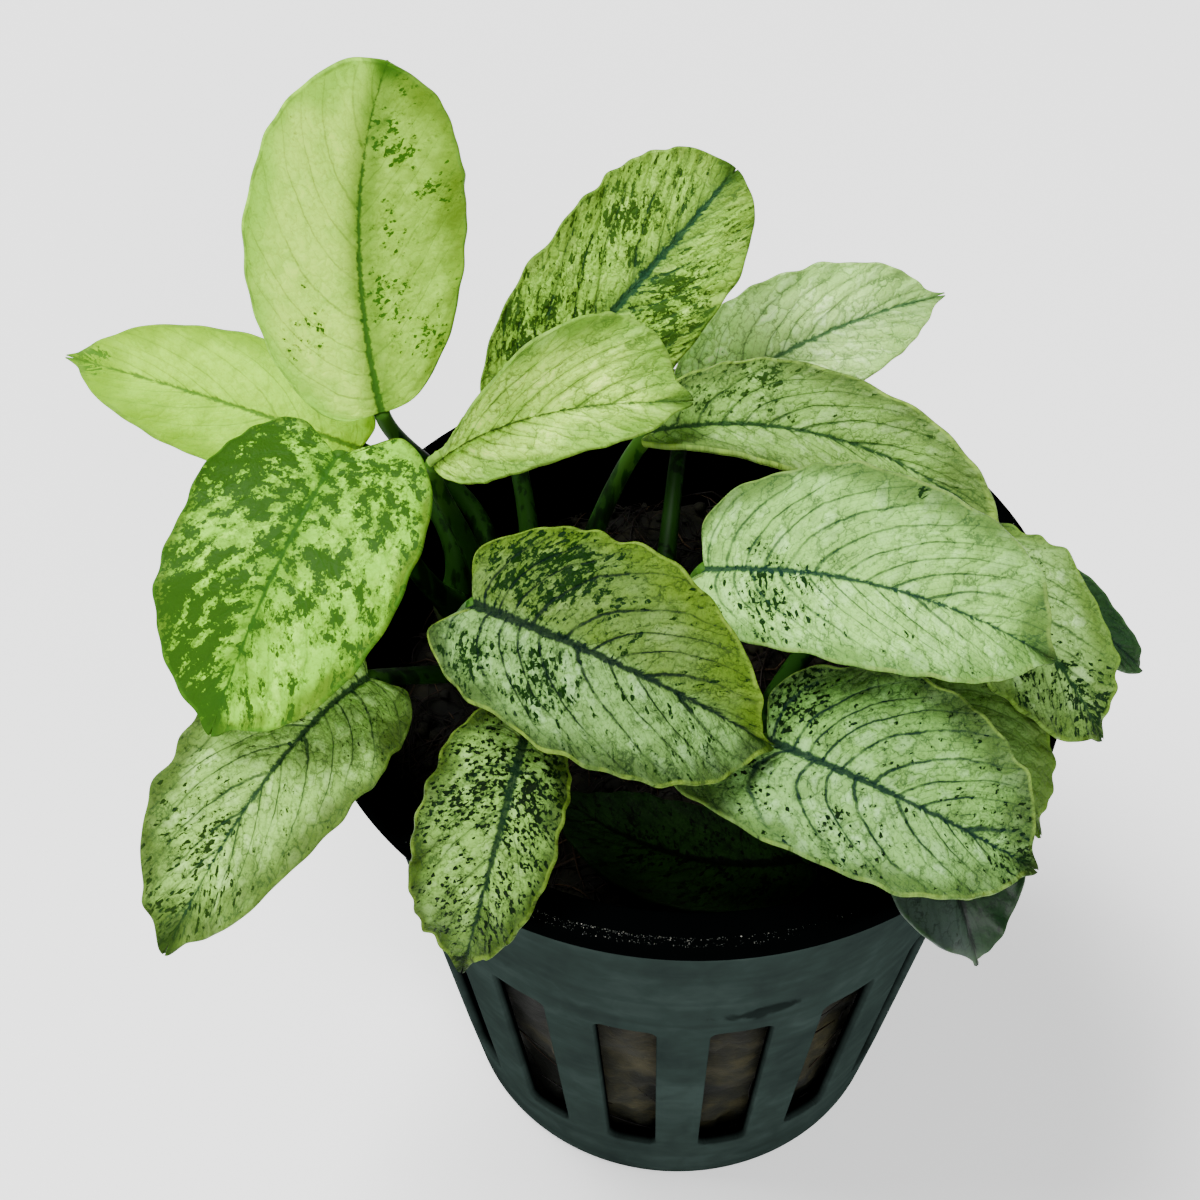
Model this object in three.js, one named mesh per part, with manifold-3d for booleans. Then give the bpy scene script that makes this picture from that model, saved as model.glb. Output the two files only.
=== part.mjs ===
// Potted Anubias barteri var. nana 'Pinto': a slotted plastic net pot of fibrous
// growing medium, a creeping rhizome half sunk in it, and seventeen stalked,
// variegated leaves. Millimetres, +Z up. The origin is the centre of the pot's
// flat underside, the view from the front looks along +Y.
import * as THREE from 'three';
import { mergeVertices } from 'three/addons/utils/BufferGeometryUtils.js';
import Module from 'manifold-3d';

const wasm = await Module();
wasm.setup();

// Net pot: the common 5 cm size, 55 mm over the lip.
const POT_HEIGHT = 50;
const LIP_RADIUS = 27.5;
const LIP_INNER_RADIUS = 24.6;
const LIP_DROP = 1.8;
const WALL_TOP_RADIUS = 25.2;
const BASE_RADIUS = 17.7;
const WALL = 1;
const FLOOR = 1.4;
const POT_SEGMENTS = 48;

// Slots in the wall: tall, a little narrower at the foot.
const SLOT_COUNT = 16;
const SLOT_TOP = 30.5;
const SLOT_FOOT = 7;
const SLOT_TOP_WIDTH = 4.8;
const SLOT_FOOT_WIDTH = 3.9;
const SLOT_CORNER = 0.7;
const FIRST_SLOT_TURN = -0.55;

// Growing medium: its mean level and how much its lumps rise.
const MEDIUM_TOP = 41;
const MEDIUM_LUMP = 0.7;
const MEDIUM_SHOULDER = 2;
const MEDIUM_SEGMENTS = 24;

// Rhizome: a creeping stem with a blunt growing end at the left.
const RHIZOME_PATH = [[-19.5, 7.5, 43.6], [-12, 4, 43.2], [-3, -2, 43], [4, -6.5, 43], [9.5, -9.5, 42.8]];
const RHIZOME_RADIUS = 2.5;
const RHIZOME_RINGS = 7;
const RHIZOME_SWELL = 1.09;
const RHIZOME_SIDES = 10;
const RHIZOME_STEPS = 16;

// Leaf stalks.
const STALK_FOOT_RADIUS = 0.95;
const STALK_TOP_RADIUS = 0.6;
const STALK_SIDES = 8;
const STALK_STEPS = 5;

// Leaf blades.
const BLADE_THICKNESS = 0.5;
const MARGIN_THINNING = 0.4;
const BLADE_COLUMNS = 6;
const BLADE_ROWS = 10;
const STALK_HALF_WIDTH = 0.55;
const TIP_HALF_WIDTH = 0.08;

// Air between pieces that touch.
const GAP = 0.3;

// An ordinary blade. Pairs are [left, right] seen from the stalk with the upper
// face on top, and lift and curl hold a [stalk end, tip end] pair in degrees for
// each side. widest is the place of the greatest width as a share of the length,
// full squares off the stalk end, point sharpens the tip, and lobe is how far
// each side reaches back past the stalk.
const ORDINARY = {
  face: [0, -0.5, 0.85],
  widest: [0.42, 0.42],
  full: [0.8, 0.8],
  point: [1.1, 1.1],
  lobe: [1, 1],
  spike: 1,
  lift: [[6, 6], [6, 6]],
  curl: [[0, 0], [0, 0]],
  wave: 0.3,
  waves: 3,
  wavePhase: 0,
  rise: 8,
  reach: 5,
};

// Leaves. midrib holds the stalk end, the middle and the tip; half is the
// greatest half width on each side; root is the stalk's place along the rhizome
// as a share, and its lean round it in degrees; rise and reach are how far the
// stalk runs straight at its foot and at its top.
const LEAVES = [
  {
    name: 'tall', colour: '#b9cf83',
    midrib: [[-23, 11, 60], [-24.5, 17.5, 72], [-22, 20.5, 84]], face: [0.15, -1, 0.5],
    half: [8.1, 7.6], widest: [0.45, 0.5], full: [0.8, 1], point: [0.95, 0.75], spike: 0,
    lobe: [0.5, 0.3], lift: [[8, 8], [8, 8]], root: [0.11, -40], reach: 7,
  },
  {
    name: 'far_left', colour: '#c3d68a',
    midrib: [[-25, 12, 55], [-35.8, 15, 56.5], [-47.7, 19.5, 56]], face: [0, -0.6, 0.8],
    half: [4.6, 5.4], point: [1.2, 1.2], root: [0.06, -5],
  },
  {
    name: 'heart', colour: '#93ae62',
    midrib: [[-24, -1.5, 68], [-27.5, -10, 65], [-31, -16.5, 58]], face: [-0.2, -0.5, 0.8],
    half: [9.2, 7.8], widest: [0.38, 0.4], full: [0.75, 0.42], point: [1, 0.9],
    lobe: [3, 1.8], root: [0.07, 35], rise: 12,
  },
  {
    name: 'low_left', colour: '#a9bd8b',
    midrib: [[-21.5, -11.5, 57], [-27.5, -17.5, 54], [-34, -25.5, 45.5]], face: [-0.2, -0.5, 0.8],
    half: [6.2, 6.7], widest: [0.35, 0.5], full: [0.7, 0.7], point: [1, 0.8],
    lobe: [2.5, 2], root: [0.36, 55], rise: 4,
  },
  {
    name: 'over_rim', colour: '#7f9a5c',
    midrib: [[-10.5, -17, 58], [-12, -23.5, 54.5], [-14, -26.5, 46]], face: [-0.1, -0.7, 0.7],
    half: [4, 5.4], widest: [0.35, 0.5], full: [0.7, 0.42], point: [1.1, 0.9],
    lobe: [1, 2], root: [0.48, 50],
  },
  {
    name: 'front', colour: '#8aa06a',
    midrib: [[-14, -11.5, 65], [-4, -17, 66], [5, -18.5, 61]], face: [0, -0.5, 0.85],
    half: [7.4, 6.8], widest: [0.38, 0.45], full: [0.75, 0.75], point: [1.6, 0.95],
    lobe: [1.5, 2.4], root: [0.2, 45], rise: 10,
  },
  {
    name: 'low_right', colour: '#9db48a',
    midrib: [[5.5, -17, 59], [14, -22, 60], [22, -24.5, 57]], face: [0, -0.4, 0.9],
    half: [7.6, 6.3], widest: [0.42, 0.3], full: [0.7, 0.6], point: [1, 1],
    lobe: [1.5, 8], root: [0.78, 35],
  },
  {
    name: 'pale', colour: '#b4c8a0',
    midrib: [[1, -8.5, 66], [12, -12, 69], [22.5, -14.5, 66]], face: [0, -0.5, 0.85],
    half: [7.3, 5.4], widest: [0.42, 0.45], full: [0.75, 0.75], point: [0.95, 0.95],
    lobe: [0.5, 3.2], root: [0.66, 5], rise: 10,
  },
  {
    name: 'folded', colour: '#a6bc86',
    midrib: [[-3, 7, 63], [9.5, 4, 66], [20.5, -2, 64]], face: [0, -0.6, 0.8],
    half: [4.6, 4], widest: [0.34, 0.42], point: [1.3, 1], lift: [[6, 6], [50, 5]], curl: [[0, 0], [30, 0]],
    root: [0.3, -35],
  },
  {
    name: 'twisted', colour: '#bfd39a',
    midrib: [[-18.5, 4.5, 61.5], [-11.5, 5.2, 65.8], [-1.5, 5, 68]], face: [0, -0.6, 0.8],
    half: [6.4, 3.5], widest: [0.78, 0.4], full: [3.2, 0.8], point: [0.8, 0.8], lobe: [0, 0],
    lift: [[90, 5], [6, 6]], curl: [[30, 0], [0, 0]], root: [0.14, 5],
  },
  {
    name: 'back', colour: '#8aa35f',
    midrib: [[-12.5, 12, 60], [-5, 17.5, 67], [2, 22.5, 74]], face: [0.1, -0.75, 0.65],
    half: [7, 6], widest: [0.56, 0.38], full: [0.85, 0.7], point: [0.72, 0.8],
    lobe: [2.5, 3], spike: 0.3, root: [0.22, -25],
  },
  {
    name: 'back_right', colour: '#b5caa0',
    midrib: [[0, 17, 56], [8.5, 20.5, 60], [17.5, 24.5, 61]], face: [0, -0.7, 0.7],
    half: [5.4, 4.6], point: [1.4, 1.1], root: [0.52, -40],
  },
  {
    name: 'right', colour: '#9bb27e',
    midrib: [[16.2, -1, 62], [22.6, -8.5, 61.5], [27.6, -12.5, 56]], face: [0.3, -0.4, 0.8],
    half: [5.4, 5], widest: [0.38, 0.5], point: [1.1, 0.9], root: [0.84, -30],
  },
  {
    name: 'under_right', colour: '#7c9452',
    midrib: [[12.4, -11.2, 58.3], [18.8, -15.1, 58.5], [23.7, -17.6, 52]], face: [0.3, -0.4, 0.8],
    half: [4.6, 4], widest: [0.5, 0.5], root: [0.91, 0],
  },
  {
    name: 'far_right', colour: '#4d6a4a',
    midrib: [[22.5, 1.5, 57], [27.5, -2.5, 56], [32, -4, 52]], face: [0.2, -0.3, 0.95],
    half: [2.4, 2.4], point: [1.5, 1.5], lobe: [0.5, 0.5], spike: 0, root: [0.92, -55], rise: 5,
  },
  {
    name: 'dark_hanging', colour: '#2f4637',
    midrib: [[16.3, -15.6, 52.5], [18.3, -23.1, 51.9], [19.9, -26.1, 47.8]], face: [0.2, -0.6, 0.7],
    half: [4.6, 4.4], widest: [0.46, 0.42], point: [2.5, 2.8], lobe: [0, 0], spike: 0.2, root: [0.93, 45],
  },
  {
    name: 'in_pot', colour: '#24381f',
    midrib: [[8.5, -16.5, 45], [0, -17, 45.5], [-8.5, -11.5, 44]], face: [0, -0.2, 0.95],
    half: [4, 4], root: [0.86, 75], rise: 2, reach: 2,
  },
];

const POT_MATERIAL = { color: '#1b2022', roughness: 0.42, metalness: 0 };
const MEDIUM_MATERIAL = { color: '#2e241a', roughness: 0.95, metalness: 0 };
const RHIZOME_MATERIAL = { color: '#4c6130', roughness: 0.6, metalness: 0 };
const STALK_MATERIAL = { color: '#3f6b2a', roughness: 0.45, metalness: 0 };
const BLADE_FINISH = { roughness: 0.4, metalness: 0, side: THREE.DoubleSide };

const mix = (from, to, share) => from + (to - from) * share;
const smooth = (share) => THREE.MathUtils.smoothstep(share, 0, 1);
const vector = (values) => new THREE.Vector3(...values);

// Joining and cutting.
function welded(geometry) {
  const bare = geometry.clone();
  for (const name of Object.keys(bare.attributes)) {
    if (name !== 'position') {
      bare.deleteAttribute(name);
    }
  }
  return mergeVertices(bare, 1e-4);
}

function solidOf(geometry) {
  const shell = welded(geometry);
  return new wasm.Manifold(new wasm.Mesh({
    numProp: 3,
    vertProperties: new Float32Array(shell.attributes.position.array),
    triVerts: new Uint32Array(shell.index.array),
  }));
}

function geometryOf(solid) {
  const mesh = solid.getMesh();
  const geometry = new THREE.BufferGeometry();
  geometry.setAttribute('position', new THREE.BufferAttribute(mesh.vertProperties, 3));
  geometry.setIndex(new THREE.BufferAttribute(mesh.triVerts, 1));
  return geometry;
}

// A lathe turned about +Z, from [radius, height] pairs.
function turned(profile, segments) {
  const geometry = new THREE.LatheGeometry(profile.map(([r, z]) => new THREE.Vector2(r, z)), segments);
  geometry.rotateX(Math.PI / 2);
  return geometry;
}

// A round bar along a curve, its radius given by a function of the share run.
function barAlong(curve, radiusAt, sides, steps) {
  const geometry = welded(new THREE.CylinderGeometry(1, 1, 1, sides, steps));
  const frames = curve.computeFrenetFrames(steps, false);
  const place = geometry.attributes.position;
  const spot = new THREE.Vector3();
  for (let i = 0; i < place.count; i += 1) {
    const step = Math.round((place.getY(i) + 0.5) * steps);
    const radius = radiusAt(step / steps);
    spot.copy(curve.getPointAt(step / steps));
    spot.addScaledVector(frames.normals[step], place.getX(i) * radius);
    spot.addScaledVector(frames.binormals[step], -place.getZ(i) * radius);
    place.setXYZ(i, spot.x, spot.y, spot.z);
  }
  return geometry;
}

// Pot: a turned cup with a flat lip, less its slots.
const wallRadius = (z) => mix(BASE_RADIUS, WALL_TOP_RADIUS, z / (POT_HEIGHT - LIP_DROP));

function potGeometry() {
  const underLip = POT_HEIGHT - LIP_DROP;
  let pot = solidOf(turned([
    [0, 0],
    [BASE_RADIUS - 0.6, 0],
    [BASE_RADIUS, 0.6],
    [WALL_TOP_RADIUS, underLip],
    [LIP_RADIUS - 0.4, underLip],
    [LIP_RADIUS, underLip + 0.5],
    [LIP_RADIUS, POT_HEIGHT - 0.4],
    [LIP_RADIUS - 0.5, POT_HEIGHT],
    [LIP_INNER_RADIUS, POT_HEIGHT],
    [WALL_TOP_RADIUS - WALL, POT_HEIGHT - 1],
    [BASE_RADIUS - WALL, FLOOR],
    [0, FLOOR],
  ], POT_SEGMENTS));
  for (let i = 0; i < SLOT_COUNT; i += 1) {
    pot = pot.subtract(solidOf(slotCutter(FIRST_SLOT_TURN + (i * 2 * Math.PI) / SLOT_COUNT)));
  }
  return geometryOf(pot);
}

// One slot's cutter: a tapered outline with rounded corners, run outwards.
function slotCutter(turn) {
  const top = SLOT_TOP_WIDTH / 2;
  const foot = SLOT_FOOT_WIDTH / 2;
  const outline = new THREE.Shape();
  outline.moveTo(-foot + SLOT_CORNER, SLOT_FOOT);
  outline.lineTo(foot - SLOT_CORNER, SLOT_FOOT);
  outline.quadraticCurveTo(foot, SLOT_FOOT, foot, SLOT_FOOT + SLOT_CORNER);
  outline.lineTo(top, SLOT_TOP - SLOT_CORNER);
  outline.quadraticCurveTo(top, SLOT_TOP, top - SLOT_CORNER, SLOT_TOP);
  outline.lineTo(-top + SLOT_CORNER, SLOT_TOP);
  outline.quadraticCurveTo(-top, SLOT_TOP, -top, SLOT_TOP - SLOT_CORNER);
  outline.lineTo(-foot, SLOT_FOOT + SLOT_CORNER);
  outline.quadraticCurveTo(-foot, SLOT_FOOT, -foot + SLOT_CORNER, SLOT_FOOT);
  const inside = wallRadius(SLOT_FOOT) - 3 * WALL;
  const outside = wallRadius(SLOT_TOP) + WALL;
  const geometry = new THREE.ExtrudeGeometry(outline, {
    depth: outside - inside,
    bevelEnabled: false,
    curveSegments: 1,
  });
  geometry.translate(0, 0, inside);
  geometry.rotateX(Math.PI / 2);
  geometry.rotateZ(turn);
  return geometry;
}

// Medium: a lumpy plug that fills the cup, with a groove for the rhizome.
function mediumGeometry(rhizomeCurve) {
  const edge = MEDIUM_TOP - MEDIUM_SHOULDER;
  const slack = WALL + 2 * GAP;
  const rim = wallRadius(edge) - slack;
  const plug = welded(turned([
    [0, FLOOR + GAP],
    [wallRadius(FLOOR) - slack, FLOOR + GAP],
    [rim, edge],
    [rim - 0.8, MEDIUM_TOP - 0.6],
    [rim * 0.82, MEDIUM_TOP],
    [rim * 0.6, MEDIUM_TOP],
    [rim * 0.4, MEDIUM_TOP],
    [rim * 0.2, MEDIUM_TOP],
    [0, MEDIUM_TOP],
  ], MEDIUM_SEGMENTS));
  const place = plug.attributes.position;
  for (let i = 0; i < place.count; i += 1) {
    const [x, y, z] = [place.getX(i), place.getY(i), place.getZ(i)];
    if (z > edge + 0.1) {
      const lump = Math.sin(0.61 * x + 1.3) * Math.cos(0.53 * y) + 0.5 * Math.sin(0.9 * x - 0.8 * y);
      place.setZ(i, z + MEDIUM_LUMP * lump);
    }
  }
  const groove = barAlong(rhizomeCurve, (share) => rhizomeRadius(share) + GAP, RHIZOME_SIDES, RHIZOME_STEPS);
  return geometryOf(solidOf(plug).subtract(solidOf(groove)));
}

// Rhizome: thicker at each old leaf scar, blunt at both ends.
function rhizomeRadius(share) {
  const fromEnd = Math.min(share, 1 - share) * 6;
  const blunt = Math.sqrt(1 - (1 - Math.min(1, fromEnd + 0.25)) ** 2);
  return RHIZOME_RADIUS * blunt * (1 + (RHIZOME_SWELL - 1) * Math.sin(share * RHIZOME_RINGS * 2 * Math.PI));
}

// The blade's outline on one side, in its own flat: [across, along].
function outlineAt(leaf, share, side) {
  const half = leaf.half[side];
  const widest = leaf.length * leaf.widest[side];
  const turn = (share ** 0.85 - 0.5) * Math.PI;
  const round = Math.max(0, Math.cos(turn));
  let across;
  let along;
  if (turn < 0) {
    across = half * round ** leaf.full[side];
    along = widest + (widest + leaf.lobe[side]) * Math.sin(turn);
    along += leaf.lobe[side] * (1 - smooth(across / (0.45 * half)));
  } else {
    across = half * round ** leaf.point[side];
    along = widest + (leaf.length - widest) * Math.sin(turn);
    along += leaf.spike * Math.sin(turn) ** 200;
  }
  return [Math.max(across, mix(STALK_HALF_WIDTH, TIP_HALF_WIDTH, share)), along];
}

// Where the midrib is at a distance along it, and which way it faces there.
function midribAt(leaf, along) {
  const [stalk, middle, tip] = leaf.midrib.map(vector);
  const share = along / leaf.length;
  const k = THREE.MathUtils.clamp(share, 0, 1);
  const spot = new THREE.Vector3();
  spot.addScaledVector(stalk, (1 - k) * (1 - 2 * k));
  spot.addScaledVector(middle, 4 * k * (1 - k));
  spot.addScaledVector(tip, k * (2 * k - 1));
  const run = new THREE.Vector3();
  run.addScaledVector(stalk, 4 * k - 3);
  run.addScaledVector(middle, 4 - 8 * k);
  run.addScaledVector(tip, 4 * k - 1);
  spot.addScaledVector(run, share - k);
  run.normalize();
  const up = vector(leaf.face).lerp(vector(leaf.faceTip ?? leaf.face), k);
  up.addScaledVector(run, -up.dot(run)).normalize();
  return { spot, run, up, across: run.clone().cross(up) };
}

// A point of the blade. share runs from the stalk to the tip, and out from the
// left margin at -1 over the midrib to the right margin at 1. Rows of equal share
// follow the side veins: they start behind the place where they meet the margin.
function bladePoint(leaf, share, out, depth) {
  const side = out < 0 ? 0 : 1;
  const sign = out < 0 ? -1 : 1;
  const reach = Math.abs(out);
  const half = leaf.half[side];
  const [edgeAcross, edgeAlong] = outlineAt(leaf, share, side);
  const start = leaf.length * share ** 1.5;
  const bow = 0.48 * half * reach * (1 - reach) * Math.sin(Math.PI * share);
  const along = mix(start, edgeAlong, reach) - bow;
  const k = THREE.MathUtils.clamp(along / leaf.length, 0, 1);
  const lift = THREE.MathUtils.degToRad(mix(...leaf.lift[side], k));
  const curl = THREE.MathUtils.degToRad(mix(...leaf.curl[side], k));
  const slope = lift + (curl * edgeAcross * reach) / half;
  let aside = edgeAcross * reach * Math.cos(lift);
  let height = edgeAcross * reach * Math.sin(lift);
  if (Math.abs(curl) > 0.01) {
    aside = (half / curl) * (Math.sin(slope) - Math.sin(lift));
    height = (half / curl) * (Math.cos(lift) - Math.cos(slope));
  }
  const ripple = Math.sin(2 * Math.PI * leaf.waves * share + leaf.wavePhase + 2 * side);
  height += leaf.wave * reach ** 2.5 * ripple * Math.sqrt(Math.sin(Math.PI * share));
  const thick = depth * (1 - MARGIN_THINNING * reach);
  const tilt = reach > 0 ? slope : 0;
  const { spot, up, across } = midribAt(leaf, along);
  spot.addScaledVector(across, sign * (aside - thick * Math.sin(tilt)));
  return spot.addScaledVector(up, height + thick * Math.cos(tilt));
}

function bladeGeometry(leaf) {
  const geometry = welded(new THREE.BoxGeometry(2, 1, 1, BLADE_COLUMNS, BLADE_ROWS, 1));
  const place = geometry.attributes.position;
  for (let i = 0; i < place.count; i += 1) {
    const share = THREE.MathUtils.clamp(place.getY(i) + 0.5, 0, 1);
    const spot = bladePoint(leaf, share, place.getX(i), place.getZ(i) * BLADE_THICKNESS);
    place.setXYZ(i, spot.x, spot.y, spot.z);
  }
  return geometry;
}

// A stalk: up out of the rhizome, then in under the blade's stalk end.
function stalkGeometry(leaf, rhizomeCurve) {
  const [share, lean] = leaf.root;
  const axis = rhizomeCurve.getPointAt(share);
  const run = rhizomeCurve.getTangentAt(share);
  const outward = new THREE.Vector3(0, 0, 1).applyAxisAngle(run, THREE.MathUtils.degToRad(lean));
  const foot = axis.clone().addScaledVector(outward, RHIZOME_RADIUS * RHIZOME_SWELL + GAP);
  const end = midribAt(leaf, 0);
  const arrival = end.run.clone().add(end.up).normalize();
  const top = end.spot.clone().addScaledVector(arrival, -GAP).addScaledVector(end.up, -BLADE_THICKNESS);
  const curve = new THREE.CubicBezierCurve3(
    foot,
    foot.clone().addScaledVector(outward, leaf.rise),
    top.clone().addScaledVector(arrival, -leaf.reach),
    top,
  );
  const radiusAt = (k) => mix(STALK_FOOT_RADIUS, STALK_TOP_RADIUS, Math.sqrt(k));
  return barAlong(curve, radiusAt, STALK_SIDES, STALK_STEPS);
}

const group = new THREE.Group();

function add(name, geometry, finish) {
  const mesh = new THREE.Mesh(geometry, new THREE.MeshStandardMaterial(finish));
  mesh.name = name;
  group.add(mesh);
}

const rhizomeCurve = new THREE.CatmullRomCurve3(RHIZOME_PATH.map(vector));

add('net_pot', potGeometry(), POT_MATERIAL);
add('growing_medium', mediumGeometry(rhizomeCurve), MEDIUM_MATERIAL);
add('rhizome', barAlong(rhizomeCurve, rhizomeRadius, RHIZOME_SIDES, RHIZOME_STEPS), RHIZOME_MATERIAL);

for (const given of LEAVES) {
  const leaf = { ...ORDINARY, ...given };
  const [stalk, middle, tip] = leaf.midrib.map(vector);
  leaf.length = stalk.distanceTo(middle) + middle.distanceTo(tip);
  add(`leaf_${leaf.name}`, bladeGeometry(leaf), { color: leaf.colour, ...BLADE_FINISH });
  add(`stem_${leaf.name}`, stalkGeometry(leaf, rhizomeCurve), STALK_MATERIAL);
}

export default group;
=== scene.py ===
import bmesh
import bpy
import math
import numpy as np
from mathutils import Matrix, Vector, noise


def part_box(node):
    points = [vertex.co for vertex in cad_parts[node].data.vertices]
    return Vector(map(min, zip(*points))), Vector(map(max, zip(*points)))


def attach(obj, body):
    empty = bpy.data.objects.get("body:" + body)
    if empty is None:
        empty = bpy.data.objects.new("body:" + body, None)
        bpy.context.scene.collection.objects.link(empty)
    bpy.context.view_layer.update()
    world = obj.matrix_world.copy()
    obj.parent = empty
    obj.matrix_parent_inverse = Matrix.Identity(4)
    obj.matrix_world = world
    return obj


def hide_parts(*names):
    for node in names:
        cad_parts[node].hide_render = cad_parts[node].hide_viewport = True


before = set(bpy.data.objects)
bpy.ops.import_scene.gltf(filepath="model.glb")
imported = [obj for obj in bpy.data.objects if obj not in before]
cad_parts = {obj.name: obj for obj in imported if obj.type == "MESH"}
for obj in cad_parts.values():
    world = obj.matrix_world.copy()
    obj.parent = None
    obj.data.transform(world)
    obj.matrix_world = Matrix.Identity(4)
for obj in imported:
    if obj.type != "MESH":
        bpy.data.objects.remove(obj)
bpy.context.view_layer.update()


# Net pot: a black polypropylene cup, injection moulded in one piece with a flat lip
# and sixteen tall slots in its wall. The mould leaves faint rings under the lip,
# and handling leaves dull streaks on the wall.
MM = 0.001
POT_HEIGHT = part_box("net_pot")[1].z
LIP_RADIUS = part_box("net_pot")[1].x
LIP_INNER_RADIUS = 24.6 * MM
UNDER_LIP = POT_HEIGHT - 1.8 * MM
WALL_TOP_RADIUS = 25.2 * MM
BASE_RADIUS = 17.7 * MM
WALL_SLOPE = (WALL_TOP_RADIUS - BASE_RADIUS) / UNDER_LIP
WALL = 1 * MM
FLOOR = 1.4 * MM
SLOT_COUNT = 16
SLOT_TOP = 30.5 * MM
SLOT_FOOT = 7 * MM
SLOT_TOP_WIDTH = 4.8 * MM
SLOT_FOOT_WIDTH = 3.9 * MM
SLOT_CORNER = 0.8 * MM
FIRST_SLOT_TURN = -0.55
COLUMNS_IN_SLOT = 6
COLUMNS_IN_BAR = 6
MOULD_RINGS = (36.2 * MM, 39.7 * MM)
RING_DEPTH = 0.02 * MM
POT_EDGE_ROUNDING = 0.14 * MM
RUB_MARK_AT = (6.5 * MM, -21.9 * MM, 33.5 * MM)
RUB_MARK_HALF = (2.6 * MM, 2.6 * MM, 0.8 * MM)
MOULD_GRAIN = 2.38 * MM
HANDLING_STREAK = (16.7 * MM, 16.7 * MM, 1.92 * MM)
WALL_TONE_CLOUD = 11.1 * MM

# The wall and dull tones are a painted sheen over the black plastic, streaked by handling wear; the darkest
# tone keeps the lip near black and is painted shade inside the cup.
COLOURS_OF_POT = {"wall": "#252f2c", "dull": "#2d3835", "deep": "#1f2725", "near_black_and_inside_shade": "#020303"}


def linear(hex_colour):
    """An sRGB hex colour as linear red, green, blue and full alpha."""
    parts = [int(hex_colour[i:i + 2], 16) / 255 for i in (1, 3, 5)]
    return [c / 12.92 if c <= 0.04045 else ((c + 0.055) / 1.055) ** 2.4 for c in parts] + [1.0]


def fill(tree, node, *in_order, **by_name):
    """Fills a node's sockets, in their order or by their names, with _ for a space in a name.

    Each takes a value, a hex colour or another node's output.
    """
    named = {name.replace("_", " "): value for name, value in by_name.items()}
    for key, value in {**dict(enumerate(in_order)), **named}.items():
        socket = node.inputs[key] if isinstance(key, int) else next(
            s for s in node.inputs if s.enabled and s.name == key)
        if isinstance(value, bpy.types.NodeSocket):
            tree.links.new(value, socket)
        else:
            socket.default_value = linear(value) if isinstance(value, str) else value


def add(tree, kind, *in_order, stops=(), **named):
    """Adds a node and returns its first output. A capitalised name fills a socket, any other is a setting.

    The stops of a colour ramp are (place, hex colour) pairs.
    """
    node = tree.nodes.new("ShaderNode" + kind)
    for name, value in named.items():
        if not name[0].isupper():
            setattr(node, name, value)
    fill(tree, node, *in_order, **{name: value for name, value in named.items() if name[0].isupper()})
    if stops:
        elements = node.color_ramp.elements
        while len(elements) < len(stops):
            elements.new(0.5)
        for element, (place, colour) in zip(elements, stops):
            element.position = place
            element.color = linear(colour)
    return next((o for o in node.outputs if o.enabled), None)


def new_material(name):
    """An empty material, with its node tree and its principled shader."""
    material = bpy.data.materials.new(name)
    material.use_nodes = True
    tree = material.node_tree
    return material, tree, tree.nodes["Principled BSDF"]


def mesh_of(bm):
    """A mesh of a bmesh, which is let go."""
    mesh = bpy.data.meshes.new("mesh")
    bm.to_mesh(mesh)
    bm.free()
    return mesh


def placed(name, data):
    """A new object in the scene, of a mesh, a light or a camera."""
    thing = bpy.data.objects.new(name, data)
    bpy.context.scene.collection.objects.link(thing)
    return thing


def dressed(mesh, name, material, replaced):
    """A smooth shaded piece, riding on the one body in place of its CAD nodes."""
    mesh.name = name
    mesh.polygons.foreach_set("use_smooth", [True] * len(mesh.polygons))
    mesh.materials.append(material)
    piece = placed(name, mesh)
    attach(piece, "root")
    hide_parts(*replaced)
    return piece


def mix(a, b, share):
    """What lies at a share of the way from a to b."""
    return a + (b - a) * share


def turned(section, steps):
    """A closed shape, spun about the upright axis from its (radius, height) section."""
    bm = bmesh.new()
    points = [bm.verts.new((r, 0, z)) for r, z in section]
    edges = [bm.edges.new(pair) for pair in zip(points, points[1:])]
    bmesh.ops.spin(bm, geom=points + edges, cent=(0, 0, 0), axis=(0, 0, 1), angle=2 * math.pi,
                   steps=steps, use_merge=True)
    bmesh.ops.remove_doubles(bm, verts=bm.verts, dist=1e-6)
    return bm


def pot_radius(z):
    """The outside of the wall."""
    return BASE_RADIUS + WALL_SLOPE * z


def pot_profile():
    """The section of the cup, from the middle of its underside round to the middle of its floor."""
    outside = [SLOT_FOOT, SLOT_TOP]
    for z in sorted(MOULD_RINGS):
        outside += [z - 0.5 * MM, z, z + 0.12 * MM]
    section = [(0, 0), (BASE_RADIUS - 1.6 * MM, 0), (BASE_RADIUS - 0.4 * MM, 0.12 * MM)]
    section.append((BASE_RADIUS, 0.6 * MM))
    section += [(pot_radius(z) + (RING_DEPTH if z in MOULD_RINGS else 0), z) for z in outside]
    section += [(WALL_TOP_RADIUS, UNDER_LIP - 0.35 * MM), (WALL_TOP_RADIUS + 0.3 * MM, UNDER_LIP)]
    section += [(LIP_RADIUS - 0.35 * MM, UNDER_LIP), (LIP_RADIUS, UNDER_LIP + 0.35 * MM)]
    from_lip = ((0, -0.4), (-0.12, -0.12), (-0.4, 0), (-1, -0.04))
    section += [(LIP_RADIUS + out * MM, POT_HEIGHT + up * MM) for out, up in from_lip]
    from_inner_lip = ((0.5, -0.04), (0.2, 0), (0, -0.1), (-0.12, -0.5))
    section += [(LIP_INNER_RADIUS + out * MM, POT_HEIGHT + up * MM) for out, up in from_inner_lip]
    section.append((WALL_TOP_RADIUS - WALL, POT_HEIGHT - 1.4 * MM))
    section += [(pot_radius(z) - WALL, z) for z in (SLOT_TOP, SLOT_FOOT, FLOOR + 0.5 * MM)]
    section += [(BASE_RADIUS - WALL - 0.5 * MM, FLOOR), (0, FLOOR)]
    return section


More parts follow.
